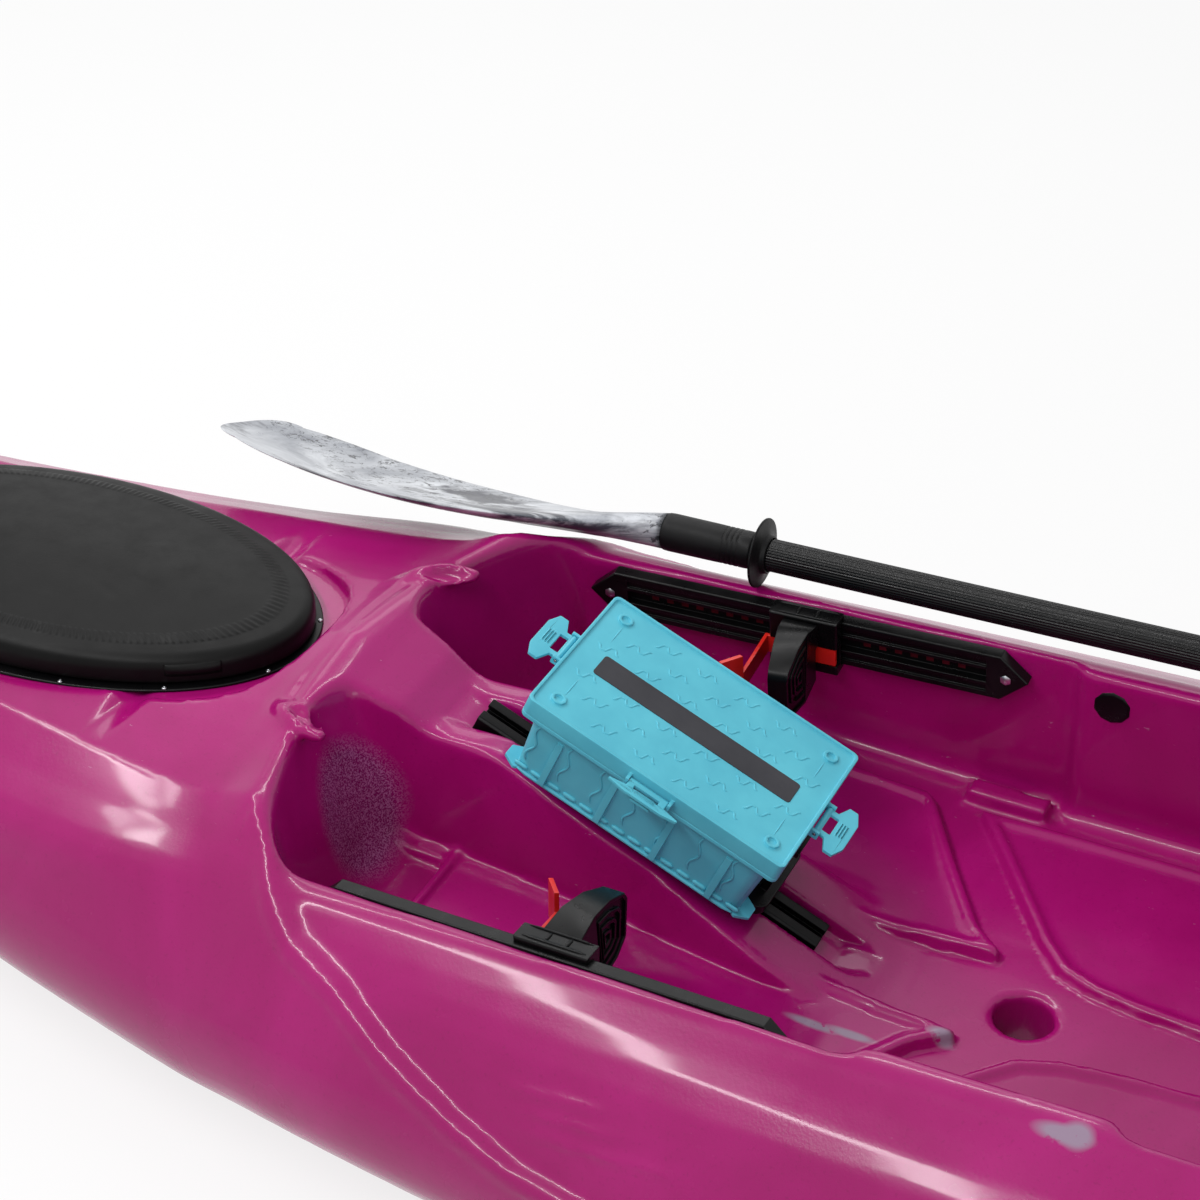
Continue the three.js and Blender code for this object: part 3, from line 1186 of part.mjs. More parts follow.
// Clasp drawn on its pin along Y, standing out along X: two legs and a plate with grip ridges
function clasp(width, reach) {
  const leg = width * 0.28;
  const neck = Math.max(reach * 0.3, LATCH_STAND * 1.9);
  const outline = [
    [0, leg], [neck, leg], [neck + reach * 0.2, width / 2], [reach * 0.8, width / 2], [reach, leg],
  ];
  const whole = outline.concat(outline.slice().reverse().map(([x, y]) => [x, -y]));
  const sheet = moved(plate(whole.map(([x, y]) => new THREE.Vector2(x, y)), LATCH_THICKNESS), 0, 0, -LATCH_THICKNESS / 2);
  const barrel = moved(post(latchBarrel, leg * 2, SMALL_SIDES + 2), 0, 0, 0, Math.PI / 2);
  const window = moved(box(reach * 0.3, leg * 1.3, OVERRUN), reach * 0.15 + latchBarrel, 0, 0);
  const ridges = [0.56, 0.66, 0.76].map((share) => moved(
    box(reach * 0.04, leg, LATCH_THICKNESS), reach * share, 0, LATCH_THICKNESS * 0.3,
  ));
  const hook = latchZ - rimUnderside + LATCH_THICKNESS / 2 + FIT_GAP;
  const nub = moved(box(LATCH_THICKNESS, leg, LATCH_THICKNESS * 1.4), hook, 0, -LATCH_THICKNESS);
  const bore = moved(post(LATCH_PIN_RADIUS + FIT_GAP, OVERRUN, SMALL_SIDES), 0, 0, 0, Math.PI / 2);
  return joined([sheet, barrel, ...ridges]).subtract(window).add(nub).subtract(bore);
}

// Two ears on the lid's edge that hold a clasp's pin, and the pin
function claspEars(width) {
  const height = LID_HEIGHT * 0.5;
  const ear = moved(box(LATCH_STAND * 2, LATCH_THICKNESS, height), 0, width * 0.28 + FIT_GAP + LATCH_THICKNESS / 2, 0);
  const bore = moved(post(LATCH_PIN_RADIUS + FIT_GAP, OVERRUN, SMALL_SIDES), 0, 0, 0, Math.PI / 2);
  return ear.add(mirrored(ear)).subtract(bore);
}

const claspPin = (width) => moved(
  post(LATCH_PIN_RADIUS, width * 0.56 + 2 * (FIT_GAP + LATCH_THICKNESS), SMALL_SIDES), 0, 0, 0, Math.PI / 2,
);

function boxLid() {
  const top = slab(LID_LENGTH, LID_WIDTH, BOX_CORNER * 0.5, LID_HEIGHT, lidBottom);
  const sunk = slab(
    LID_LENGTH - 2 * LID_LIP, LID_WIDTH - 2 * LID_LIP, BOX_CORNER * 0.4, LID_LIP, lidBottom + LID_HEIGHT - LID_LIP * 0.7,
  );
  const pocket = slab(
    LID_LENGTH - 2 * BOX_RIM, LID_WIDTH - 2 * BOX_RIM, BOX_CORNER * 0.4, LID_HEIGHT - BOX_WALL, lidBottom - LID_LIP,
  );
  const stud = turned([
    [LID_STUD_RADIUS * 0.6, 0], [LID_STUD_RADIUS, 0], [LID_STUD_RADIUS, LID_LIP * 0.8],
    [LID_STUD_RADIUS * 0.6, LID_LIP * 0.8], [LID_STUD_RADIUS * 0.6, 0],
  ], SMALL_SIDES + 2);
  const studs = [[1, 1], [1, -1], [-1, 1], [-1, -1]].map(([x, y]) => moved(
    stud, x * (LID_LENGTH / 2 - BOX_CORNER * 1.7), y * (LID_WIDTH / 2 - BOX_CORNER * 1.7),
    lidBottom + LID_HEIGHT - LID_LIP * 0.8,
  ));
  const ears = Object.values(latchPlaces).map(([turn, edge, width]) => atLatch(claspEars(width), turn, edge));
  return joined([top.subtract(sunk).subtract(pocket), ...studs, ...ears, knuckles(lidKnuckleShare, 1)])
    .subtract(hingeBore(HINGE_RADIUS + FIT_GAP));
}

addMesh(boxFrame, 'tackle_box_tray', boxTray(), tealPlastic);
addMesh(boxFrame, 'tackle_box_lid', boxLid(), tealPlastic);
addMesh(boxFrame, 'tackle_box_hinge_pin', hingeBore(HINGE_RADIUS), steel);
Object.entries(latchPlaces).forEach(([name, [turn, edge, width, reach]]) => {
  addMesh(boxFrame, `tackle_box_${name}_latch`, atLatch(clasp(width, reach), turn, edge), tealPlastic);
  addMesh(boxFrame, `tackle_box_${name}_latch_pin`, atLatch(claspPin(width), turn, edge), steel);
});

// Paddle on the starboard gunwale, drawn from its own middle with X along it towards the bow
const paddle = new THREE.Group();
const paddleX = PADDLE_TIP_X - PADDLE_LENGTH / 2;
const paddleY = PADDLE_FROM_CREASE - creaseHalfWidth;
const paddleZ = gunwaleAt(paddleX) + GUNWALE_CROWN + DRIP_RING_RADIUS - 4 * FIT_GAP;
paddle.position.set(paddleX, paddleY, paddleZ);
paddle.rotation.y = Math.atan2(GUNWALE_RISE, HALF_LENGTH);
kayak.add(paddle);
const bladeRoot = PADDLE_LENGTH / 2 - BLADE_LENGTH;
const shaftBore = SHAFT_RADIUS - SHAFT_WALL;
const neckLength = SLEEVE_LENGTH * 0.7;

function hollowBar(radius, bore, from, to, sides = TUBE_SIDES + 2) {
  const outer = moved(post(radius, to - from, sides), (from + to) / 2, 0, 0, 0, Math.PI / 2);
  return outer.subtract(moved(post(bore, OVERRUN * 4, sides), (from + to) / 2, 0, 0, 0, Math.PI / 2));
}

// Blade from its root to its tip: [place, width, drop of the spoon, thickness] as shares
const bladeShare = [
  [0, 0.2, 0, 6.6], [0.05, 0.2, -0.1, 5.6], [0.13, 0.26, -0.3, 4], [0.24, 0.52, -0.6, 2.8],
  [0.38, 0.8, -0.9, 2], [0.54, 0.96, -1, 1.4], [0.7, 1, -0.8, 1.1], [0.84, 0.96, -0.35, 1],
  [0.93, 0.78, 0.05, 0.9], [0.985, 0.42, 0.35, 0.8], [1, 0.1, 0.45, 0.7],
];

function paddleBlade() {
  const across = [0.5, 0.34, 0, -0.34];
  const rings = bladeShare.map(([place, wide, spoon, thick]) => {
    const x = bladeRoot + place * BLADE_LENGTH;
    const width = wide * BLADE_WIDTH;
    const edge = (share, up) => point(
      x, share * width,
      spoon * BLADE_SPOON + BLADE_CAMBER * 4 * share ** 2 * (width / BLADE_WIDTH)
        + up * thick * BLADE_THICKNESS * Math.sqrt(1 - 4 * share ** 2) / 2,
    );
    return across.map((share) => edge(share, 1)).concat(across.map((share) => edge(-share, -1)));
  });
  const skin = outwardLoft(rings);
  const neck = moved(
    post(shaftBore - FIT_GAP, neckLength + SHAFT_RADIUS, TUBE_SIDES + 2), bladeRoot - neckLength / 2, 0, 0, 0, Math.PI / 2,
  );
  return moved(skin, 0, 0, 0, BLADE_ROLL_ANGLE * DEGREE).add(neck);
}

const dripRing = () => moved(
  turned([
    [SHAFT_RADIUS + FIT_GAP, -DRIP_RING_WIDTH / 2], [SHAFT_RADIUS * 1.3, -DRIP_RING_WIDTH / 2],
    [DRIP_RING_RADIUS, DRIP_RING_WIDTH * 0.1], [DRIP_RING_RADIUS, DRIP_RING_WIDTH * 0.35],
    [SHAFT_RADIUS * 1.3, DRIP_RING_WIDTH / 2], [SHAFT_RADIUS + FIT_GAP, DRIP_RING_WIDTH / 2],
    [SHAFT_RADIUS + FIT_GAP, -DRIP_RING_WIDTH / 2],
  ], ROUND_SIDES), bladeRoot - DRIP_RING_FROM_BLADE, 0, 0, 0, Math.PI / 2,
);

const buttonX = FERRULE_LENGTH / 4;
const buttonHole = () => moved(post(BUTTON_RADIUS + FIT_GAP, OVERRUN, SMALL_SIDES + 2), buttonX, 0, OVERRUN / 2);

function ferruleButton() {
  const top = SHAFT_RADIUS + BUTTON_RADIUS / 2;
  const foot = shaftBore - SHAFT_WALL - FIT_GAP * 2 - BUTTON_TRAVEL;
  return moved(turned([
    [0, top], [BUTTON_RADIUS * 0.7, top], [BUTTON_RADIUS, top - BUTTON_RADIUS / 2], [BUTTON_RADIUS, foot], [0, foot],
  ], SMALL_SIDES + 2), buttonX, 0, 0);
}

[['front', 1], ['rear', -1]].forEach(([name, end]) => {
  const placed = (solid) => (end > 0 ? solid : moved(mirrored(solid), 0, 0, 0, 0, 0, Math.PI));
  const tubeEnd = bladeRoot - FIT_GAP;
  const shaft = hollowBar(SHAFT_RADIUS, shaftBore, FIT_GAP / 2, tubeEnd);
  const sleeve = hollowBar(SLEEVE_RADIUS, SHAFT_RADIUS + FIT_GAP, tubeEnd - SLEEVE_LENGTH + DRIP_RING_WIDTH / 2, tubeEnd);
  addMesh(paddle, `paddle_shaft_${name}`, placed(end > 0 ? shaft.subtract(buttonHole()) : shaft), carbon);
  addMesh(paddle, `paddle_sleeve_${name}`, placed(sleeve), blackRubber);
  addMesh(paddle, `paddle_blade_${name}`, placed(paddleBlade()), paddleBladePlastic);
  addMesh(paddle, `paddle_drip_ring_${name}`, placed(dripRing()), blackRubber);
});
const ferrule = hollowBar(shaftBore - FIT_GAP, shaftBore - SHAFT_WALL, -FERRULE_LENGTH / 2, FERRULE_LENGTH / 2);
addMesh(paddle, 'paddle_ferrule', ferrule.subtract(buttonHole()), blackMetal);
addMesh(paddle, 'paddle_ferrule_button', ferruleButton(), steel);

// Push-in caps over the mounting holes in the cockpit walls
[['port', 1], ['starboard', -1]].forEach(([name, side]) => {
  const cap = turned([
    [0, CAP_THICKNESS], [CAP_RADIUS * 0.8, CAP_THICKNESS], [CAP_RADIUS, CAP_THICKNESS * 0.3], [CAP_RADIUS, 0],
    [CAP_STEM_RADIUS, 0], [CAP_STEM_RADIUS, -CAP_STEM_LENGTH], [0, -CAP_STEM_LENGTH],
  ], TUBE_SIDES);
  addMesh(kayak, `${name}_wall_cap`, onWall(cap, side), blackPlastic);
  hullHoles.push(onWall(post(CAP_STEM_RADIUS + FIT_GAP, CAP_STEM_LENGTH * 3, TUBE_SIDES), side));
});

// Carry handles: an arched grip whose two feet stand on a land in the deck
handlePlaces.forEach(({ name, x, z, pitch }) => {
  const frame = new THREE.Group();
  frame.position.set(x, 0, z);
  frame.rotation.y = pitch;
  kayak.add(frame);
  const foot = FIT_GAP - handleLandDepth;
  const half = HANDLE_LENGTH / 2;
  const outline = [
    [-half, foot], [-half * 0.62, foot], [-half * 0.5, HANDLE_RISE - HANDLE_THICKNESS * 1.2],
    [-half * 0.34, HANDLE_RISE - HANDLE_THICKNESS], [half * 0.34, HANDLE_RISE - HANDLE_THICKNESS],
    [half * 0.5, HANDLE_RISE - HANDLE_THICKNESS * 1.2], [half * 0.62, foot], [half, foot],
    [half, foot + HANDLE_THICKNESS * 0.6], [half * 0.74, foot + HANDLE_THICKNESS * 0.8],
    [half * 0.56, HANDLE_RISE - HANDLE_THICKNESS * 0.2], [half * 0.4, HANDLE_RISE],
    [-half * 0.4, HANDLE_RISE], [-half * 0.56, HANDLE_RISE - HANDLE_THICKNESS * 0.2],
    [-half * 0.74, foot + HANDLE_THICKNESS * 0.8], [-half, foot + HANDLE_THICKNESS * 0.6],
  ].map(([a, b]) => new THREE.Vector2(a, b));
  addMesh(frame, `${name}_carry_handle`, sidePlate(outline, HANDLE_WIDTH / 2), blackRubber);
});

// Drain plug in the stern deck, with a grip bar across its head
function drainPlug() {
  const stem = plugBore - FIT_GAP;
  const cap = turned([
    [0, PLUG_RADIUS * 0.3], [PLUG_RADIUS * 0.9, PLUG_RADIUS * 0.3], [PLUG_RADIUS, PLUG_RADIUS * 0.2],
    [PLUG_RADIUS, 0], [stem, 0], [stem * 0.9, -PLUG_RADIUS], [0, -PLUG_RADIUS],
  ], TUBE_SIDES + 2);
  const bar = moved(box(PLUG_RADIUS * 1.3, PLUG_RADIUS * 0.3, PLUG_RADIUS * 0.5), 0, 0, PLUG_RADIUS * 0.45);
  return moved(cap.add(bar), PLUG_X, 0, plugSeatHeight + FIT_GAP);
}

addMesh(kayak, 'drain_plug', drainPlug(), blackPlastic);

// Seat frame: a rounded loop on two U-shaped legs, with an upright plate each side at the back
const seatRear = SEAT_FRONT - SEAT_DEPTH;
const seatY = cockpitHalfWidth - SEAT_SIDE_ROOM - SEAT_TUBE;
const legY = seatY - LEG_SPLAY;
const legPlaces = [SEAT_FRONT - LEG_INSET, seatRear + LEG_INSET];
const backPivot = point(seatRear + SEAT_TUBE * 2, 0, SEAT_HEIGHT + BACK_PIVOT_RISE);
const backY = seatY - PIVOT_PLATE / 2 - FIT_GAP - SEAT_TUBE;

function seatFrame() {
  const front = SEAT_FRONT - SEAT_TUBE;
  const rear = seatRear + SEAT_TUBE;
  const bend = SEAT_BEND;
  const corners = [
    point(front, 0, SEAT_HEIGHT), point(front, seatY, SEAT_HEIGHT), point(rear, seatY, SEAT_HEIGHT),
    point(rear, 0, SEAT_HEIGHT),
  ];
  const half = tube(rounded(corners, bend), SEAT_TUBE, TUBE_SIDES - 2);
  const legs = legPlaces.map((x) => tube(rounded([
    point(x, seatY, SEAT_HEIGHT), point(x, legY, LEG_HEIGHT), point(x, -legY, LEG_HEIGHT),
    point(x, -seatY, SEAT_HEIGHT),
  ], bend / 2), SEAT_TUBE, TUBE_SIDES - 2));
  const plateOutline = [
    [rear + SEAT_TUBE * 3, SEAT_HEIGHT], [backPivot.x + SEAT_TUBE * 1.4, backPivot.z + SEAT_TUBE],
    [backPivot.x - SEAT_TUBE, backPivot.z + SEAT_TUBE], [rear - SEAT_TUBE / 2, SEAT_HEIGHT],
  ].map(([x, z]) => new THREE.Vector2(x, z));
  const ear = sidePlate(plateOutline, PIVOT_PLATE / 2);
  const ears = [moved(ear, 0, seatY, 0), moved(ear, 0, -seatY, 0)];
  return joined([half, mirrored(half), ...legs, ...ears]).subtract(pivotBore(pivotClear));
}

const pivotClear = (PIVOT_RADIUS + FIT_GAP) / Math.cos(Math.PI / (SMALL_SIDES + 2));
const pivotBore = (radius) => moved(
  post(radius, 2 * (seatY + SEAT_TUBE), SMALL_SIDES + 2), backPivot.x, 0, backPivot.z, Math.PI / 2,
);

// Sling with its hems round the side tubes and a sagging span between them, drawn along X
const SLING_EDGE_SHARE = 0.9;
const slingShare = [1, SLING_EDGE_SHARE, 0.6, 0.3, 0, -0.3, -0.6, -SLING_EDGE_SHARE, -1];

function sling(length, halfWidth, sag) {
  const inside = (SEAT_TUBE + FIT_GAP) / Math.cos(Math.PI / TUBE_SIDES);
  const ring = post(inside + SLING_THICKNESS / 2, length, TUBE_SIDES).subtract(post(inside, OVERRUN, TUBE_SIDES));
  const hem = moved(ring, 0, halfWidth, 0, 0, Math.PI / 2);
  const reach = halfWidth - SEAT_TUBE - 2 * FIT_GAP;
  const along = [-1, -0.5, 0, 0.5, 1];
  const rows = slingShare.map((share) => {
    const hang = sag * Math.max(0, 1 - (share / SLING_EDGE_SHARE) ** 2);
    const at = (end, rise) => point(
      end * (length - SLING_THICKNESS) / 2, share * reach, SEAT_TUBE * 0.55 - hang * (1 - 0.4 * end ** 2) + rise,
    );
    return along.map((end) => at(end, 0)).concat(along.slice().reverse().map((end) => at(end, -SLING_THICKNESS)));
  });
  return joined([outwardLoft(rows), hem, mirrored(hem)]);
}

// Back frame: an inverted U that stands on the pivots, drawn upright along X from its pivot
function backFrame() {
  const foot = -SEAT_TUBE * 1.2;
  const corners = [
    point(foot, backY, 0), point(BACK_HEIGHT, backY, 0), point(BACK_HEIGHT, -backY, 0), point(foot, -backY, 0),
  ];
  const bore = moved(post(pivotClear, OVERRUN * 2, SMALL_SIDES + 2), 0, 0, 0, Math.PI / 2);
  return tube(rounded(corners, SEAT_BEND), SEAT_TUBE, TUBE_SIDES - 2).subtract(bore);
}

const backPlace = new THREE.Group();
backPlace.position.copy(backPivot);
backPlace.rotation.y = -Math.PI / 2 - BACK_RECLINE * DEGREE;
kayak.add(backPlace);
const seatSpan = SEAT_DEPTH - 2 * SEAT_BEND - 4 * SEAT_TUBE;
const seatSlingX = SEAT_FRONT - SEAT_TUBE - SEAT_BEND - seatSpan / 2;
const backSpan = BACK_HEIGHT - SEAT_BEND - SEAT_TUBE * 4;
addMesh(kayak, 'seat_frame', seatFrame(), seatTube);
addMesh(kayak, 'seat_base_sling', moved(sling(seatSpan, seatY, SLING_SAG), seatSlingX, 0, SEAT_HEIGHT), seatMesh);
addMesh(backPlace, 'seat_back_frame', backFrame(), seatTube);
addMesh(backPlace, 'seat_back_sling', moved(
  sling(backSpan, backY, BACK_SAG), SEAT_TUBE * 3 + backSpan / 2, 0, 0,
), seatMesh);
const pinHalf = moved(box(OVERRUN, OVERRUN, OVERRUN), backPivot.x, backY - SEAT_TUBE * 1.2 + OVERRUN / 2, backPivot.z);
const pivotPin = pivotBore(PIVOT_RADIUS).intersect(pinHalf);
addMesh(kayak, 'port_seat_pivot_pin', pivotPin, steel);
addMesh(kayak, 'starboard_seat_pivot_pin', mirrored(pivotPin), steel);

// Open-topped floor saddles that the seat's legs drop into
const padTop = FLOOR_HEIGHT + PAD_RISE;
function saddle() {
  const flange = plate(roundedRectangle(SADDLE_LENGTH, SADDLE_WIDTH, SADDLE_FLANGE), SADDLE_FLANGE);
  const wall = SEAT_TUBE + FIT_GAP * 2;
  const rise = LEG_HEIGHT - padTop + SEAT_TUBE * 0.4;
  const cradle = moved(box(2 * wall + SADDLE_FLANGE, SADDLE_WIDTH * 0.8, rise), 0, 0, rise / 2);
  const seatZ = LEG_HEIGHT - padTop - FIT_GAP;
  const grooveRadius = (SEAT_TUBE + FIT_GAP) / Math.cos(Math.PI / (TUBE_SIDES - 2));
  const groove = moved(post(grooveRadius, OVERRUN, TUBE_SIDES - 2), 0, 0, seatZ, Math.PI / 2);
  const mouth = moved(box(2 * (SEAT_TUBE + FIT_GAP), OVERRUN, OVERRUN), 0, 0, seatZ + OVERRUN / 2);
  return flange.add(cradle).subtract(groove).subtract(mouth);
}

legPlaces.forEach((x, i) => {
  [['port', 1], ['starboard', -1]].forEach(([name, side]) => {
    const place = moved(saddle(), x, side * (legY - SADDLE_INSET), padTop + FIT_GAP);
    addMesh(kayak, `${name}_${['front', 'rear'][i]}_seat_saddle`, place, blackPlastic);
  });
});

addMesh(kayak, 'hull_shell', makeHull(hullHoles), hullPlastic);

export default kayak;
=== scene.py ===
"""Visual model of a sit-on-top fishing kayak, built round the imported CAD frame.

Metres, with +X to the bow, +Y to port and +Z up. The tables and forms below are in millimetres.
"""
import json
import math

import bmesh
import bpy
import numpy as np
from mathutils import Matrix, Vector


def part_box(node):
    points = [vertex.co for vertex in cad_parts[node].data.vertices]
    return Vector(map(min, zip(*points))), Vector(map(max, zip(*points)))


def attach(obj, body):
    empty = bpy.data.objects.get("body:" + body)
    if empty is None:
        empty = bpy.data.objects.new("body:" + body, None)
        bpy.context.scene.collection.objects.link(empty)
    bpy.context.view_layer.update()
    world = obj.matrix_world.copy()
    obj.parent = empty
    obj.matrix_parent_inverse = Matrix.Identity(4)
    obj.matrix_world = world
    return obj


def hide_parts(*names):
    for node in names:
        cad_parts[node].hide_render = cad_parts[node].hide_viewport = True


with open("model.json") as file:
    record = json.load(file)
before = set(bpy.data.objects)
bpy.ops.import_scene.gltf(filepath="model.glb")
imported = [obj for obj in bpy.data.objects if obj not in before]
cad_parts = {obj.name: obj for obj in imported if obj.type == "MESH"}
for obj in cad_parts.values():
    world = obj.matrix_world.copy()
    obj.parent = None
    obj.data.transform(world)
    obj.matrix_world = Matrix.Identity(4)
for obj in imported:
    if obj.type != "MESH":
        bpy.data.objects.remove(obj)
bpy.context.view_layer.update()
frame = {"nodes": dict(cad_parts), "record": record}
NODES = frame["nodes"]
SCENE = bpy.context.scene
MM = 0.001


# Hull form, in millimetres
HALF = 1850.0
HALF_BEAM = 420.0
SHEER = 250.0
FLOOR = 90.0
COAMING = 290.0
COCKPIT_FRONT = 838.0
COCKPIT_REAR = -650.0
COCKPIT_HALF = 258.0
SHOULDER = [
    (-1, 1.27), (-0.88, 1.1), (-0.74, 0.98), (-0.58, 0.95), (-0.47, 1.06), (-0.36, 1.18), (0, 1.16),
    (0.3, 1.06), (0.4, 0.978), (0.45, 0.908), (0.5, 0.876), (0.57, 0.832), (0.65, 0.848), (0.76, 0.96),
    (0.87, 1.15), (0.95, 1.33), (1, 1.45)]
RIDGE = [
    (-1, 1.29), (-0.88, 1.16), (-0.74, 1.1), (-0.56, 1.13), (-0.43, 1.19), (0, 1.2), (0.32, 1.17),
    (0.4, 1.13), (0.44, 1.1), (0.465, 1.03), (0.5, 1), (0.58, 0.996), (0.65, 1), (0.76, 1.08), (0.87, 1.24),
    (0.95, 1.38), (1, 1.475)]
CROWN = [
    (-1, 1.32), (-0.88, 1.2), (-0.74, 1.16), (-0.56, 1.18), (-0.43, 1.22), (0, 1.22), (0.38, 1.2),
    (0.43, 1.165), (0.46, 1.15), (0.48, 1.1), (0.51, 1.06), (0.54, 1.045), (0.63, 1.04), (0.76, 1.11),
    (0.82, 1.17), (0.9, 1.3), (0.96, 1.42), (1, 1.504)]
SHOULDER_BEAM = [
    (-1, 0.9), (-0.8, 0.84), (-0.5, 0.8), (0.42, 0.8), (0.5, 0.85), (0.57, 0.875), (0.65, 0.885),
    (0.8, 0.86), (1, 0.9)]
FOLD = [
    (0.474, 1.6), (0.458, 1.16), (0.441, 1.1), (0.422, 1.04), (0.406, 0.962), (0.392, 0.9), (0.366, 0.848),
    (0.336, 0.748), (0.3, 0.656), (0.268, 0.59), (0.216, 0.55), (0, 0.54), (-0.26, 0.56), (-0.37, 0.64),
    (-0.43, 0.78), (-0.46, 1.04), (-0.468, 1.6)]
WALL_FRONT = 0.896
TOE = [
    (0.984, 0, 1), (0.984, 0.21, 1), (1, 0.335, 1), (1, 0.43, 1), (0.992, 0.55, 1), (0.982, 0.68, 1),
    (0.968, 0.82, 0.95), (0.953, 0.92, 0.85), (0.935, 0.975, 0.6), (0.916, 0.997, 0.3), (WALL_FRONT, 1, 0)]
HUMP = [
    (1.18, 1.15), (1.02, 1.07), (0.93, 0.85), (0.8, 0.9), (0.6, 0.98), (0.5, 1), (0.27, 0.86), (0.05, 0.64),
    (-0.04, 0.2)]
HUMP_BASE = [
    (876, 0), (876, 73), (805, 69), (765, 60), (707, 60), (640, 62), (574, 64), (506, 72), (431, 77),
    (368, 73), (344, 62), (333, 34), (331, 0)]
HEEL_PAD = [
    (730, 40), (730, 236), (388, 236), (378, 226), (330, 148), (287, 82), (258, 58), (262, 50), (330, 44),
    (352, 40)]
FOOT_PAD = [
    (346, 240), (304, 182), (238, 88), (211, 58), (177, 44), (134, 37), (60, 32), (-598, 30), (-598, 244),
    (60, 244)]
MOAT = [
    (1010, 0), (1010, 128), (985, 124), (954, 116), (922, 99), (904, 80), (892, 50), (887, 18), (886, 0)]
DENT = (830, 124, 284)
CREASES = [((512, 192), (440, 199)), ((500, 181), (412, 189)), ((486, 170), (372, 180))]
WELL = [(0, 0), (0, 0.8), (0.06, 0.98), (0.14, 1), (0.55, 0.8), (0.92, 0.52), (1, 0.4), (1, 0)]
HATCH_X, HATCH_Z = 1164.0, 250.0
RIM_A, RIM_B = 263.0, 150.0
NOTCH_X, NOTCH_Z = 1003, 246
SCUPPERS, SCUPPER_RADIUS = ((220, 0), (-120, 130), (-1100, 90)), 25.5
TANK_FLOOR, TANK_FRONT, TANK_LENGTH, TANK_HALF = 165, -800, 670, 215
HATCH_SKIN = 11.0
FOOT_PAD_RISE, HEEL_PAD_RISE = 5.0, 8.5
CREASE_HEIGHT, CREASE_HALF = 2.4, 2.8
BEAD_HEIGHT, BEAD_X, BEAD_REACH = 1.7, 590, 190
TRACK_SUNK, TROUGH_HALF, TROUGH_REAR, TROUGH_FRONT = 15.6, 20.6, 326, 751
VALLEY_X, VALLEY_Z = 862, 285
HUMP_FOOT = 353.0
HUMP_RUN = COCKPIT_FRONT * 0.95 - HUMP_FOOT
TRACK_X, TRACK_Z, TRACK_TAN = 722.0, 247.0, math.tan(math.radians(23.05))


def follow(table, x):
    """Smooth value at x in a table of (place, value)."""
    if x <= table[0][0]:
        return table[0][1]
    if x >= table[-1][0]:
        return table[-1][1]
    i = 0
    while table[i + 1][0] < x:
        i += 1

    def slope(j):
        a, b = table[max(j - 1, 0)], table[min(j + 1, len(table) - 1)]
        return (b[1] - a[1]) / (b[0] - a[0])

    span = table[i + 1][0] - table[i][0]
    t = (x - table[i][0]) / span
    start, end = table[i][1], table[i + 1][1]
    return (start * (2 * t ** 3 - 3 * t ** 2 + 1) + end * (3 * t ** 2 - 2 * t ** 3)
            + span * (slope(i) * (t ** 3 - 2 * t ** 2 + t) + slope(i + 1) * (t ** 3 - t ** 2)))


def half_beam(x):
    t = abs(x) / HALF
    return max(HALF_BEAM * (1 - t ** (2.28 if x > 0 else 2.7)), 15.0)


def keel(x):
    t = abs(x) / HALF
    tip = 376 * 0.84 if x > 0 else 330 * 0.8
    return tip * (max(0.0, t - 0.7) / 0.3) ** 2.5


def gunwale(x):
    return 264.0 - 58.0 * x / HALF


def between(t, t0, t1, start, end):
    return (t1 - t) / (t1 - t0) * start + (t - t0) / (t1 - t0) * end


def smoothed(points, cuts):
    """Centripetal Catmull-Rom curve through an open run of points."""
    p = np.array(points, float)
    q = np.vstack([2 * p[0] - p[1], p, 2 * p[-1] - p[-2]])
    out = []
    for i in range(len(p) - 1):
        a, b, c, d = q[i:i + 4]
        t0, t1, t2, t3 = np.cumsum([0.0] + [max(np.linalg.norm(end - start), 1e-6) ** 0.5
                                            for start, end in ((a, b), (b, c), (c, d))])
        for t in t1 + (t2 - t1) * np.arange(cuts) / cuts:
            ab, bc, cd = between(t, t0, t1, a, b), between(t, t1, t2, b, c), between(t, t2, t3, c, d)
            out.append(between(t, t1, t2, between(t, t0, t2, ab, bc), between(t, t1, t3, bc, cd)))
    return np.array(out + [p[-1]])


def rounded_run(points, reach):
    """The same run of points with its corners cut, so that long straight walls stay where they are."""
    run = np.array(points, float)
    for k in range(2):
        out = [run[0]]
        for i in range(1, len(run) - 1):
            for other in (run[i - 1], run[i + 1]):
                step = other - run[i]
                size = max(np.linalg.norm(step), 1e-6)
                out.append(run[i] + step * min(reach / (2 ** k) / size, 0.3))
        out.append(run[-1])
        run = np.array(out)
    return run


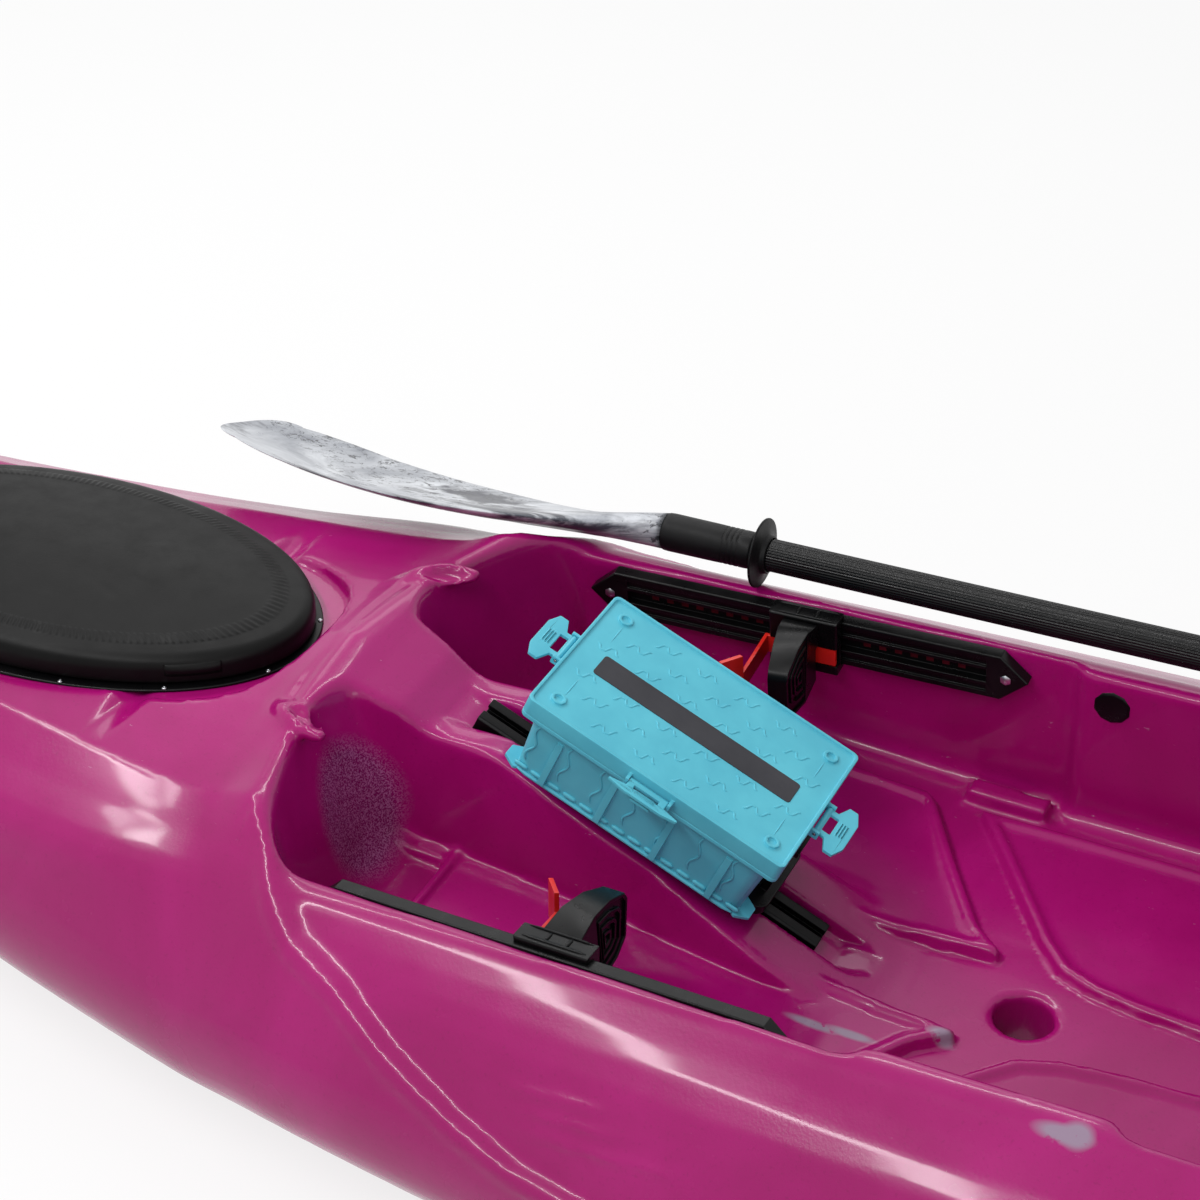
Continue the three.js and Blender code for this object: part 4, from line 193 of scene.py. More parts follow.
def full_section(x):
    share = x / HALF
    beam, low_z = half_beam(x), keel(x)
    shoulder, ridge, crown = (SHEER * follow(t, share) for t in (SHOULDER, RIDGE, CROWN))
    side = min(shoulder, SHEER * 0.95) - low_z
    tunnel = 12 * max(0.0, 1 - share ** 4)
    shoulder_y = beam * follow(SHOULDER_BEAM, share)
    ridge_y = beam * 0.62
    vee = 0.42 * max(0.0, abs(share) - 0.45) / 0.55

    def low(out, up, lift=0.0):
        return (beam * out, low_z + side * (up + vee * (1 - up) * out) + lift * (1 - vee))

    half = [low(0, 0), low(0.045, 0), low(0.11, 0, tunnel), low(0.27, 0, tunnel),
            low(0.37, 0, tunnel * 0.2), low(0.5, 0), low(0.76, 0.05), low(0.93, 0.19), low(0.985, 0.32),
            low(1, 0.47), low(0.985, 0.62),
            ((beam * 0.97 + shoulder_y) / 2, (low_z + side * 0.72 + shoulder) / 2), (shoulder_y, shoulder),
            ((shoulder_y + ridge_y) / 2, (shoulder + ridge) / 2 + side * 0.004), (ridge_y, ridge),
            (ridge_y * 0.5, ridge * 0.3 + crown * 0.7), (0, crown)]
    if share < 0.44:
        return smoothed(half, 3)
    return np.vstack([smoothed(half[:15], 3)[:-1], smoothed(half[14:], 3)])


def waist_section(x):
    side = half_beam(x) - 13
    top = gunwale(x)
    crease = min(292.0, side * 0.86)
    half = [(side, SHEER * 0.48), (side * 0.985, SHEER * 0.6), ((crease + side) / 2, top - SHEER * 0.15),
            (crease, top - SHEER * 0.016), (crease - SHEER * 0.06, top + 2.5), (COCKPIT_HALF * 0.5, top),
            (0, top)]
    return np.vstack([[(0, -FLOOR), (side, -FLOOR)], smoothed(half, 3)])


def run_distance(px, py, line, closed=False):
    """Signed distance (negative inside) to an outline whose two ends lie on py = 0, or that is closed."""
    ends = np.vstack([line, line[:1]]) if closed else line
    best = np.full(px.shape, 1e12)
    inside = np.zeros(px.shape, bool)
    for (ax, ay), (bx, by) in zip(ends[:-1], ends[1:]):
        dx, dy = bx - ax, by - ay
        size = dx * dx + dy * dy
        if size < 1e-9:
            continue
        t = np.clip(((px - ax) * dx + (py - ay) * dy) / size, 0, 1)
        best = np.minimum(best, (px - ax - t * dx) ** 2 + (py - ay - t * dy) ** 2)
        if ax != bx:
            inside ^= ((ax > px) != (bx > px)) & (py < ay + (px - ax) * dy / dx)
    return np.where(inside, -1, 1) * np.sqrt(best)


def grid(first, second):
    return np.meshgrid(first, second, indexing="ij")


def smin(a, b, k):
    h = np.clip(0.5 + 0.5 * (b - a) / k, 0, 1)
    return b * (1 - h) + a * h - k * h * (1 - h)


def smax(a, b, k):
    return -smin(-a, -b, k)


def cockpit_outline(draft, toe):
    wide = COCKPIT_HALF + draft
    half = [(x * COCKPIT_FRONT - toe * s, y * wide) for x, y, s in TOE]
    swell = wide + (COCKPIT_FRONT * WALL_FRONT - 275) * math.tan(math.radians(1.8))
    return half + [(279, swell), (269, swell - 15), (78, swell - 15), (68, swell),
                   (COCKPIT_REAR * 0.86, wide * 1.08), (COCKPIT_REAR * 0.96, wide),
                   (COCKPIT_REAR, wide * 0.8), (COCKPIT_REAR, 0)]


def hump_outline(extra):
    sides = [(HUMP_FOOT + x * HUMP_RUN, y * 54 + extra) for x, y in HUMP]
    return [(HUMP_FOOT + 1.18 * HUMP_RUN + 1, 0)] + sides + [(HUMP_FOOT - 0.045 * HUMP_RUN, 0)]


def well_outline(extra):
    run = -TANK_LENGTH - 2 * extra
    return [(TANK_FRONT + extra + x * run, y * (TANK_HALF + extra)) for x, y in WELL]


def drafted(gx, gy, zs, low, high, low_z, high_z, reach):
    """Distance to walls drawn between an outline at one height and one at another."""
    low, high = rounded_run(low, reach), rounded_run(high, reach)
    return np.stack([run_distance(gx, gy, low + (high - low) * (z - low_z) / (high_z - low_z))
                     for z in zs], axis=2)


def ellipse_run(a, b):
    angles = np.linspace(0, math.pi, 48)
    return np.stack([HATCH_X + a * np.cos(angles), b * np.sin(angles)], axis=1)


def axes(xs, ys, zs):
    return xs[:, None, None], ys[None, :, None], zs[None, None, :]


def outer_field(xs, ys, zs):
    """The hull's outside: its full section, drawn in below the fold, with a bead along the fold."""
    gy, gz = grid(ys, zs)
    full = np.empty((len(xs), len(ys), len(zs)))
    waist = np.full(full.shape, 500.0)
    for i, x in enumerate(xs):
        line = full_section(float(np.clip(x, -HALF, HALF)))
        full[i] = run_distance(gz, gy, line[:, ::-1])
        if -920 < x < 930:
            waist[i] = run_distance(gz, gy, waist_section(x)[:, ::-1])
    X = xs[:, None, None]
    full = np.maximum(full, np.maximum(X - HALF, -X - HALF))
    fx, fz = grid(xs, zs)
    outline = np.array([(x * HALF, z * SHEER) for x, z in FOLD])
    fold = run_distance(fx, fz, outline, closed=True)[:, None, :]
    field = smax(full, smin(-fold, waist, 9.0), 6.0)
    bead = smax(full - BEAD_HEIGHT, np.abs(fold - 9.0) - 5.0, 4.0)
    return smin(field, smax(bead, (np.abs(X - BEAD_X) - BEAD_REACH) * 0.12, 4.0), 4.0)


def cockpit(field, xs, ys, zs):
    """The open well round its centre hump, which has a step at its foot and a trough for the track."""
    gx, gy = grid(xs, ys)
    X, Y, Z = axes(xs, ys, zs)
    walls = drafted(gx, gy, zs, cockpit_outline(14, 66), cockpit_outline(0, 0), FLOOR, COAMING, 8.0)
    floor = np.interp(xs, [343, 760, 1160], [FLOOR, 120, 273])[:, None, None]
    well = smax(walls, floor - Z, 22.0)

    skirt = run_distance(gx, gy, rounded_run(HUMP_BASE, 10.0))[:, :, None]
    sides = np.minimum(drafted(gx, gy, zs, hump_outline(11), hump_outline(0), FLOOR, COAMING, 16.0),
                       smax(skirt, (X - 640) * 0.3, 20.0) + np.maximum(Z - floor, 0) * 0.16)
    top = FLOOR + (X - HUMP_FOOT) * (COAMING - FLOOR) / HUMP_RUN
    hump = smax(sides, (Z - top) * 0.91, 7.0)
    step = smax(skirt - 13.0, Z - floor - 9.5 * np.clip((X - 326) / 70, 0, 1), 3.0)
    well = smax(smax(well, -hump, 9.0), -step, 2.5)

    bed = np.maximum(TRACK_Z + (X - TRACK_X) * TRACK_TAN - TRACK_SUNK,
                     95.0 - 0.1 * (X - 340.0).clip(-40, 60))
    trough = smax(Y - TROUGH_HALF + 0.35 * np.maximum(372 - X, 0), bed - Z, 5.0)
    trough = smax(trough, np.maximum(X - TROUGH_FRONT, TROUGH_REAR - X), 6.0)
    field = smax(field, -smin(well, trough, 2.5), 8.0)

    for outline, rise in ((FOOT_PAD, FOOT_PAD_RISE), (HEEL_PAD, HEEL_PAD_RISE)):
        pad = run_distance(gx, gy, np.array(outline, float), closed=True)[:, :, None] + 1.5
        edge = np.abs(pad + 6.5) - 4.5 + 0.5 * np.maximum(60 - X, 0)
        top = smin(Z - floor - rise, smax(edge, Z - floor - rise - 4.5, 2.5), 2.0)
        field = smin(field, np.maximum(smax(pad, top, 2.0), floor - 8 - Z), 1.5)
    kick = np.maximum(np.maximum(X - 362, 286 - X), np.maximum(250 - Y, Z - 106))
    return smin(field, np.maximum(kick, np.maximum(84 - Z, Y - 272)), 7.0)


def coaming_relief(field, xs, ys, zs):
    """The valley across the deck ahead of the hump and the swollen dent at the corner of each footwell."""
    X, Y, Z = axes(xs, ys, zs)
    valley = np.hypot(X - VALLEY_X + (Y / 150) ** 2 * 12, (Z - VALLEY_Z) * 0.8)
    valley = np.maximum(valley - 5.0 * np.clip((Y - 18) / 60, 0, 1), Y - 150)
    field = smax(field, -valley, 5.0)
    dx, dy, dz = X - DENT[0], Y - DENT[1], Z - DENT[2]
    along, across = dx * 0.92 - dy * 0.39, dx * 0.39 + dy * 0.92
    swelling = (np.sqrt((along / 33) ** 2 + ((across - 2) / 12) ** 2 + ((dz + 5) / 9) ** 2) - 1) * 9
    dent = (np.sqrt(((along + 2) / 26) ** 2 + ((across + 3) / 9) ** 2 + ((dz - 5) / 14) ** 2) - 1) * 9
    return smax(smin(field, swelling, 8.0), -dent, 2.0)


def creased(field, xs, ys, zs):
    """Raises the short creases of the side."""
    X, Y, Z = axes(xs, ys, zs)
    for (ax, az), (bx, bz) in CREASES:
        dx, dz = bx - ax, bz - az
        t = np.clip(((X - ax) * dx + (Z - az) * dz) / (dx ** 2 + dz ** 2), 0, 1)
        away = np.hypot(X - ax - t * dx, Z - az - t * dz)
        height = CREASE_HEIGHT * np.sin(math.pi * np.clip(0.08 + 0.84 * t, 0, 1)) ** 0.5
        raised = smax(field - height, away - CREASE_HALF, 2.0)
        field = smin(field, np.maximum(raised, 330 - Y), 2.0)
    return field


def tank_well(field, xs, ys, zs):
    gx, gy = grid(xs, ys)
    walls = drafted(gx, gy, zs, well_outline(-18), well_outline(0), TANK_FLOOR, COAMING, 40.0)
    return smax(field, -smax(walls, TANK_FLOOR - zs[None, None, :], 26.0), 14.0)


def hatch_recess(field, xs, ys, zs):
    """Sinks the seat of the hatch rim, the moat behind it and the notches beside it into the deck."""
    gx, gy = grid(xs, ys)
    Z = zs[None, None, :]
    seat = run_distance(gx, gy, ellipse_run(RIM_A + 1.5, RIM_B + 1.5))
    moat = run_distance(gx, gy, rounded_run(MOAT, 10.0))
    recess = smax(np.minimum(seat, moat)[:, :, None], HATCH_Z - Z, 4.0)
    vee = (np.abs(gx - NOTCH_X) - 5)[:, :, None] - np.maximum(Z - NOTCH_Z, 0) * 1.25
    notch = smax(vee * 0.62, NOTCH_Z - Z + 0.06 * (gy - 120)[:, :, None], 3.0)
    notch = np.maximum(notch, (np.abs(gy - 150) - 66)[:, :, None])
    return smax(field, -smin(recess, notch, 3.0), 3.0)


def hull_field(xs, ys, zs):
    """Height of each grid point outside the hull's skin, in millimetres, for the port half."""
    field = outer_field(xs, ys, zs)
    near = (xs > COCKPIT_REAR - 60) & (xs < COCKPIT_FRONT + 60)
    for part, cut in ((near, cockpit), (near, coaming_relief), (near, creased), (xs < -760, tank_well),
                      (xs > 820, hatch_recess)):
        field[part] = cut(field[part], xs[part], ys, zs)

    X, Y, Z = axes(xs, ys, zs)
    for sx, sy in SCUPPERS:
        hole = np.hypot(X - sx, Y - sy) - SCUPPER_RADIUS
        field = smax(field, -hole, 4.5)
    cavity = np.maximum(field + HATCH_SKIN, np.abs(X - HATCH_X) - 300)
    gx, gy = grid(xs, ys)
    hatch = run_distance(gx, gy, ellipse_run(RIM_A - 34, RIM_B - 36))[:, :, None]
    return np.maximum(field, -np.minimum(cavity, np.maximum(hatch, 200.0 - Z)))


def grid_lines(stops):
    """Grid coordinates from a run of (start, step) pairs that ends with (end,)."""
    lines = []
    for (start, step), nxt in zip(stops[:-1], stops[1:]):
        count = max(1, round((nxt[0] - start) / step))
        lines.append(np.linspace(start, nxt[0], count, endpoint=False))
    return np.concatenate(lines + [[stops[-1][0]]])


def surface_nets(field, xs, ys, zs):
    """Closed quad mesh through the zero level of a field, with one vertex in each cell that it crosses."""
    inside = field < 0
    corners = [(i, j, k) for i in (0, 1) for j in (0, 1) for k in (0, 1)]
    cut = [slice(0, -1), slice(1, None)]
    values = [field[cut[i], cut[j], cut[k]] for i, j, k in corners]
    flags = [v < 0 for v in values]
    some = np.any(flags, axis=0) & ~np.all(flags, axis=0)
    cells = np.argwhere(some)
    values = np.stack([v[some] for v in values], axis=1)
    low, high = (np.stack([line[cells[:, k] + step] for k, line in enumerate((xs, ys, zs))], axis=1)
                 for step in (0, 1))
    total = np.zeros((len(cells), 3))
    count = np.zeros(len(cells))
    places = np.array(corners, float)
    for a in range(8):
        for b in range(a + 1, 8):
            if np.abs(places[a] - places[b]).sum() != 1:
                continue
            crosses = (values[:, a] < 0) != (values[:, b] < 0)
            t = values[crosses, a] / (values[crosses, a] - values[crosses, b])
            total[crosses] += places[a] + (places[b] - places[a]) * t[:, None]
            count[crosses] += 1
    points = low + total / count[:, None] * (high - low)
    index = np.full(some.shape, -1)
    index[some] = np.arange(len(cells))
    faces = []
    for axis in range(3):
        u, v = [(1, 2), (2, 0), (0, 1)][axis]
        changed = np.argwhere(np.diff(inside, axis=axis))
        keep = (changed[:, u] > 0) & (changed[:, v] > 0) & \
            (changed[:, u] < field.shape[u] - 1) & (changed[:, v] < field.shape[v] - 1)
        changed = changed[keep]
        outward = inside[tuple(changed.T)]
        quad = []
        for du, dv in ((-1, -1), (0, -1), (0, 0), (-1, 0)):
            cell = changed.copy()
            cell[:, u] += du
            cell[:, v] += dv
            quad.append(index[tuple(cell.T)])
        quad = np.stack(quad, axis=1)
        quad[~outward] = quad[~outward][:, ::-1]
        faces.append(quad)
    faces = np.concatenate(faces)
    used, flat = np.unique(faces, return_inverse=True)
    return points[used], flat.reshape(faces.shape)


def added(name, data):
    """A new object in the scene with this data."""
    obj = bpy.data.objects.new(name, data)
    SCENE.collection.objects.link(obj)
    return obj


def mesh_object(name, points, faces, smooth=True):
    mesh = bpy.data.meshes.new(name)
    mesh.from_pydata([tuple(p) for p in points], [], [tuple(int(i) for i in f) for f in faces])
    mesh.validate()
    for polygon in mesh.polygons:
        polygon.use_smooth = smooth
    return added(name, mesh)


def grid_mesh(name, points, faces):
    """Quads straight into a mesh, with smooth faces."""
    mesh = bpy.data.meshes.new(name)
    mesh.vertices.add(len(points))
    mesh.vertices.foreach_set("co", (points * MM).astype(np.float32).ravel())
    mesh.loops.add(faces.size)
    mesh.loops.foreach_set("vertex_index", faces.astype(np.int32).ravel())
    mesh.polygons.add(len(faces))
    mesh.polygons.foreach_set("loop_start", np.arange(0, faces.size, 4, dtype=np.int32))
    mesh.polygons.foreach_set("loop_total", np.full(len(faces), 4, np.int32))
    mesh.polygons.foreach_set("use_smooth", np.ones(len(faces), bool))
    mesh.update(calc_edges=True)
    mesh.validate()
    return added(name, mesh)


def fine_hull():
    xs = grid_lines([(-1866, 12), (-1500, 9), (-700, 8), (40, 4), (470, 4), (760, 4), (1040, 6), (1480, 10),
                     (1866,)])
    ys = grid_lines([(-12, 4), (300, 5), (440,)])
    zs = grid_lines([(-14, 7), (70, 4), (302, 6), (392,)])
    field = hull_field(xs, ys, zs)
    port, beside = field[:, 3:], ys[3:]
    both = np.concatenate([port[:, :0:-1], port], axis=1)
    lines = np.concatenate([-beside[:0:-1], beside])
    return grid_mesh("hull", *surface_nets(both, xs, lines, zs))


# Materials
def rgb(red, green, blue):
    """Linear colour of an 8-bit screen colour."""
    return tuple(((c / 255 + 0.055) / 1.055) ** 2.4 if c > 10 else c / 255 / 12.92
                 for c in (red, green, blue)) + (1.0,)


class Paint:
    """A Principled material, with short calls for the nodes that vary it."""

    def __init__(self, name, roughness=0.5, metallic=0.0, coat=0.0, sheen=0.0, specular=0.5):
        self.material = bpy.data.materials.new(name)
        self.material.use_nodes = True
        self.tree = self.material.node_tree
        self.shader = self.tree.nodes["Principled BSDF"]
        self.set("Roughness", roughness)
        self.set("Metallic", metallic)
        self.set("Coat Weight", coat)
        self.set("Coat Roughness", 0.12)
        self.set("Sheen Weight", sheen)
        self.set("Specular IOR Level", specular)
        self.place = self.tree.nodes.new("ShaderNodeTexCoord").outputs["Object"]
        self.height = None

    def feed(self, socket, value):
        """Links a node's output to a socket, or writes a number or colour on it."""
        if isinstance(value, bpy.types.NodeSocket):
            self.tree.links.new(value, socket)
        else:
            socket.default_value = value

    def set(self, name, value):
        self.feed(self.shader.inputs[name], value)

    def node(self, kind, inputs, **settings):
        node = self.tree.nodes.new("ShaderNode" + kind)
        for key, value in settings.items():
            setattr(node, key, value)
        for key, value in inputs.items():
            self.feed(node.inputs[key], value)
        return node

    def stretched(self, x, y, z, turn=(0, 0, 0)):
        inputs = {"Vector": self.place, "Scale": (x, y, z), "Rotation": turn}
        return self.node("Mapping", inputs).outputs["Vector"]

    def noise(self, scale, detail, rough=0.5, where=None, distortion=0.0):
        inputs = {"Vector": where or self.place, "Scale": scale, "Detail": detail, "Roughness": rough,
                  "Distortion": distortion}
        return self.node("TexNoise", inputs).outputs["Fac"]

    def wave(self, scale, distortion, direction):
        inputs = {"Vector": self.place, "Scale": scale, "Distortion": distortion, "Detail": 1.0}
        return self.node("TexWave", inputs, bands_direction=direction).outputs["Fac"]

    def spread(self, value, low, high, start=0.0, end=1.0):
        inputs = {"Value": value, "From Min": low, "From Max": high, "To Min": start, "To Max": end}
        return self.node("MapRange", inputs, clamp=True).outputs["Result"]

    def sum(self, a, b, operation="ADD"):
        return self.node("Math", {0: a, 1: b}, operation=operation).outputs[0]

    def times(self, a, b):
        return self.sum(a, b, "MULTIPLY")

    def mixed(self, share, first, second):
        node = self.tree.nodes.new("ShaderNodeMix")
        node.data_type = "RGBA"
        for key, value in (("Factor", share), ("A", first), ("B", second)):
            socket = [i for i in node.inputs if i.name == key and (key == "Factor" or i.type == "RGBA")][0]
            self.feed(socket, value)
        return [o for o in node.outputs if o.type == "RGBA"][0]

    def bump(self, height, distance, strength):
        """Adds one more layer of relief, with its depth in metres."""
        inputs = {"Height": height, "Distance": distance, "Strength": strength}
        if self.height is not None:
            inputs["Normal"] = self.height
        self.height = self.node("Bump", inputs).outputs["Normal"]
        self.set("Normal", self.height)

    def near(self, centre, reach, soft):
        """1 close to a place and 0 beyond its reach, an ellipsoid in metres."""
        inputs = {"Vector": self.place, "Scale": tuple(1 / r for r in reach),
                  "Location": tuple(-c / r for c, r in zip(centre, reach))}
        shifted = self.node("Mapping", inputs).outputs["Vector"]
        away = self.node("VectorMath", {0: shifted}, operation="LENGTH").outputs["Value"]
        return self.spread(away, 1.0, 1.0 - soft)


SCUFFS = [
    ((0.110, 0.287, 0.262), (0.026, 0.0085, 0.02)), ((0.100, 0.285, 0.262), (0.014, 0.013, 0.02)),
    ((0.372, 0.097, 0.098), (0.028, 0.006, 0.014)), ((0.338, 0.093, 0.098), (0.026, 0.006, 0.014)),
    ((0.270, 0.062, 0.098), (0.017, 0.008, 0.014)), ((0.221, -0.019, 0.095), (0.016, 0.005, 0.01)),
    ((0.449, 0.306, 0.262), (0.003, 0.003, 0.01))]


def hull_paint():
    p = Paint("hull_magenta", roughness=0.3, coat=0.3, specular=0.18)
    drift = p.noise(5.0, 4.0, 0.6, distortion=0.6)
    colour = p.mixed(p.spread(drift, 0.35, 0.68), rgb(150, 6, 96), rgb(166, 14, 110))
    fleck = p.spread(p.noise(320.0, 2.0, 0.6), 0.6, 0.72)
    colour = p.mixed(p.times(fleck, 0.25), colour, rgb(108, 2, 66))
    toe = p.near((0.83, 0.10, 0.17), (0.09, 0.066, 0.078), 0.25)
    grit = p.noise(640.0, 2.0, 0.7)
    worn = p.mixed(p.spread(grit, 0.46, 0.56), rgb(70, 14, 62), rgb(160, 112, 158))
    colour = p.mixed(p.times(toe, 0.62), colour, worn)
    scuffs = p.spread(p.noise(7.0, 5.0, 0.75, p.stretched(9.0, 26.0, 26.0, (0.2, 0.1, 0.3))), 0.68, 0.74)
    where = p.spread(p.noise(2.6, 1.0), 0.56, 0.62)
    colour = p.mixed(p.times(p.times(scuffs, where), 0.55), colour, rgb(206, 170, 196))
    rubbed = p.spread(p.noise(60.0, 4.0, 0.6), 0.34, 0.4)
    for centre, reach in SCUFFS:
        colour = p.mixed(p.times(p.near(centre, reach, 0.5), rubbed), colour, rgb(150, 128, 150))
    p.set("Base Color", colour)
    p.set("Coat Roughness", 0.08)
    p.set("Roughness", p.spread(p.sum(p.noise(9.0, 4.0, 0.7), p.times(scuffs, 0.3)), 0.3, 0.9, 0.18, 0.36))
    p.bump(p.noise(11.0, 2.0, 0.5), 0.0015, 0.4)
    p.bump(p.noise(420.0, 2.0, 0.6), 0.00012, 0.8)
    return p.material


def moulded(name, dark, pale, roughness, grain=900.0, depth=0.00006, specular=0.5, metallic=0.0):
    """Moulded plastic or rubber: a slight drift of colour, worn gloss and a fine grain."""
    p = Paint(name, roughness, metallic, specular=specular)
    p.set("Base Color", p.mixed(p.spread(p.noise(22.0, 3.0, 0.6), 0.35, 0.7), rgb(*dark), rgb(*pale)))
    p.set("Roughness", p.spread(p.noise(35.0, 4.0, 0.7), 0.3, 0.75, roughness - 0.07, roughness + 0.09))
    p.bump(p.noise(grain, 2.0, 0.7), depth, 0.7)
    return p.material


def blade_paint():
    """White and grey plastic with darker swirls, as a marbled blade has."""
    p = Paint("blade_marbled", 0.34, specular=0.4, coat=0.15)
    drift = p.noise(9.0, 5.0, 0.6, distortion=1.4)
    swirl = p.noise(3.2, 6.0, 0.62, p.stretched(0.6, 2.2, 2.2), 2.6)
    colour = p.mixed(p.spread(drift, 0.3, 0.7), rgb(122, 126, 136), rgb(228, 231, 236))
    colour = p.mixed(p.spread(swirl, 0.5, 0.58), colour, rgb(64, 66, 76))
    flecks = p.spread(p.noise(90.0, 4.0, 0.8, distortion=0.8), 0.54, 0.6)
    patch = p.spread(p.noise(7.0, 3.0, 0.6), 0.48, 0.56)
    colour = p.mixed(p.times(p.times(flecks, patch), 0.85), colour, rgb(26, 28, 36))
    p.set("Base Color", colour)
    p.set("Roughness", p.spread(p.noise(30.0, 4.0, 0.7), 0.3, 0.75, 0.26, 0.44))
    p.bump(p.noise(14.0, 3.0, 0.6), 0.0008, 0.5)
    return p.material


def mesh_paint(name="seat_mesh", ways=("X", "Y")):
    """Open-weave seat mesh: crossed threads in relief, with painted shade in the holes."""
    p = Paint(name, 0.8, sheen=0.2, specular=0.3)
    first, second = (p.wave(150.0, 0.3, way) for way in ways)
    weave = p.sum(p.spread(first, 0.25, 0.75), p.spread(second, 0.25, 0.75), "MAXIMUM")
    tint = p.mixed(p.spread(p.noise(18.0, 3.0), 0.35, 0.7), rgb(44, 46, 52), rgb(62, 65, 72))
    # Near-black between the threads: painted shade in the open holes of the weave, not a colour of the cloth.
    p.set("Base Color", p.mixed(weave, rgb(8, 8, 10), tint))
    p.bump(weave, 0.0006, 0.8)
    return p.material


MATERIALS = {
    "hull_plastic": hull_paint(),
    "black_plastic": moulded("satin_black", (6, 6, 7), (12, 12, 13), 0.3, specular=0.16),
    "black_rubber": moulded("matt_rubber", (8, 8, 9), (16, 16, 17), 0.46, 600.0, 0.0001, 0.16),
    "red_plastic": moulded("red_lever", (196, 24, 18), (226, 40, 28), 0.36),
    "teal_plastic": moulded("teal_box", (84, 182, 204), (94, 194, 214), 0.36, specular=0.3),
    "steel": moulded("bright_steel", (150, 152, 156), (196, 198, 202), 0.3, metallic=1.0),
    "black_metal": moulded("anodised_black", (6, 6, 7), (13, 13, 14), 0.34, 1400.0, 0.00003, 0.3, 0.6),
    "blade_plastic": blade_paint(),
    "shaft": moulded("shaft_black", (8, 8, 9), (16, 16, 17), 0.28, 700.0, 0.00004, 0.2),
    "seat_tube": moulded("seat_tube_black", (18, 18, 20), (30, 31, 33), 0.4, metallic=0.5),
    "seat_mesh": mesh_paint(),
    "foam": moulded("foam_white", (206, 204, 196), (236, 234, 226), 0.9),
    "cover": moulded("cover_black", (6, 6, 6), (11, 11, 11), 0.42, 500.0, 0.0001, 0.12),
    "strip": moulded("strip_black", (40, 40, 46), (50, 50, 56), 0.5, specular=0.3),
    "mark": moulded("mark_red", (70, 8, 20), (92, 12, 28), 0.6, specular=0.2),
    "thread": moulded("thread_grey", (96, 98, 104), (134, 136, 142), 0.8, 2400.0, 0.0001, 0.2),
}
MATERIALS["seat_base_cloth"] = MATERIALS["seat_mesh"]
MATERIALS["seat_back_cloth"] = mesh_paint("seat_back_mesh", ("Z", "Y"))


# Staging
def aim(obj, target):
    direction = Vector(target) - obj.location
    obj.rotation_mode = "QUATERNION"
    obj.rotation_quaternion = direction.to_track_quat("-Z", "Y")


CAMERA_PLACE, CAMERA_AHEAD = (-0.200, 1.660, 1.624), (0.3657, -0.7472, -0.5551)
LENS, SENSOR = 81.0, 36.0
AMBIENT, BACKGROUND, FLOOR_GLOW = 0.42, 1.0, 0.8

camera_data = bpy.data.cameras.new("camera")
camera_data.lens, camera_data.sensor_width = LENS, SENSOR
camera_data.clip_start, camera_data.clip_end = 0.05, 60.0
camera = added("camera", camera_data)
camera.location = CAMERA_PLACE
aim(camera, camera.location + Vector(CAMERA_AHEAD))
SCENE.camera = camera
SCENE.view_settings.view_transform = "Standard"


def softbox(name, place, target, wide, tall, power):
    data = bpy.data.lights.new(name, "AREA")
    data.shape, data.size, data.size_y = "RECTANGLE", wide, tall
    data.energy = power
    light = added(name, data)
    light.location = place
    aim(light, target)


softbox("key_strip", (1.5, 1.35, 2.9), (0.5, 0.3, 0.2), 4.4, 0.14, 66)
softbox("chine_strip", (2.0, -1.2, 2.8), (0.9, 0.1, 0.2), 3.2, 0.14, 30)
softbox("fill_light", (-2.4, 3.4, 1.6), (0.2, 0, 0.2), 2.0, 1.4, 24)
softbox("back_light", (2.3, -3.3, 2.6), (0.9, 0, 0.2), 3.4, 0.7, 16)


def seen_or_mirrored(tree):
    path = tree.nodes.new("ShaderNodeLightPath")
    total = path.outputs["Is Camera Ray"]
    for name in ("Is Glossy Ray", "Is Transmission Ray"):
        add = tree.nodes.new("ShaderNodeMath")
        add.operation = "MAXIMUM"
        tree.links.new(total, add.inputs[0])
        tree.links.new(path.outputs[name], add.inputs[1])
        total = add.outputs[0]
    return total


def mix_shaders(tree, share, first, second, output):
    """Mixes two shaders by a share into the surface of an output node."""
    mix = tree.nodes.new("ShaderNodeMixShader")
    for socket, source in enumerate((share, first, second)):
        tree.links.new(source, mix.inputs[socket])
    tree.links.new(mix.outputs[0], tree.nodes[output].inputs["Surface"])


world = bpy.data.worlds.new("studio")
SCENE.world = world
world.use_nodes = True
tree = world.node_tree
plain, white = tree.nodes["Background"], tree.nodes.new("ShaderNodeBackground")
for node, strength in ((plain, AMBIENT), (white, BACKGROUND)):
    node.inputs["Color"].default_value = (1, 1, 1, 1)
    node.inputs["Strength"].default_value = strength
mix_shaders(tree, seen_or_mirrored(tree), plain.outputs[0], white.outputs[0], "World Output")


def floor_paint():
    p = Paint("floor_white", roughness=0.9, specular=0.1)
    p.set("Base Color", p.mixed(p.noise(1.4, 2.0), (0.86, 0.86, 0.86, 1), (0.9, 0.9, 0.9, 1)))
    glow = p.node("Emission", {"Color": (1, 1, 1, 1), "Strength": 1.0})
    share = p.times(seen_or_mirrored(p.tree), FLOOR_GLOW)
    mix_shaders(p.tree, share, p.shader.outputs[0], glow.outputs[0], "Material Output")
    return p.material


corners = [(30 * x, 30 * y, 0) for x, y in ((-1, -1), (1, -1), (1, 1), (-1, 1))]
floor = mesh_object("floor", corners, [(0, 1, 2, 3)], smooth=False)
floor.location.z = -0.002
floor.data.materials.append(floor_paint())


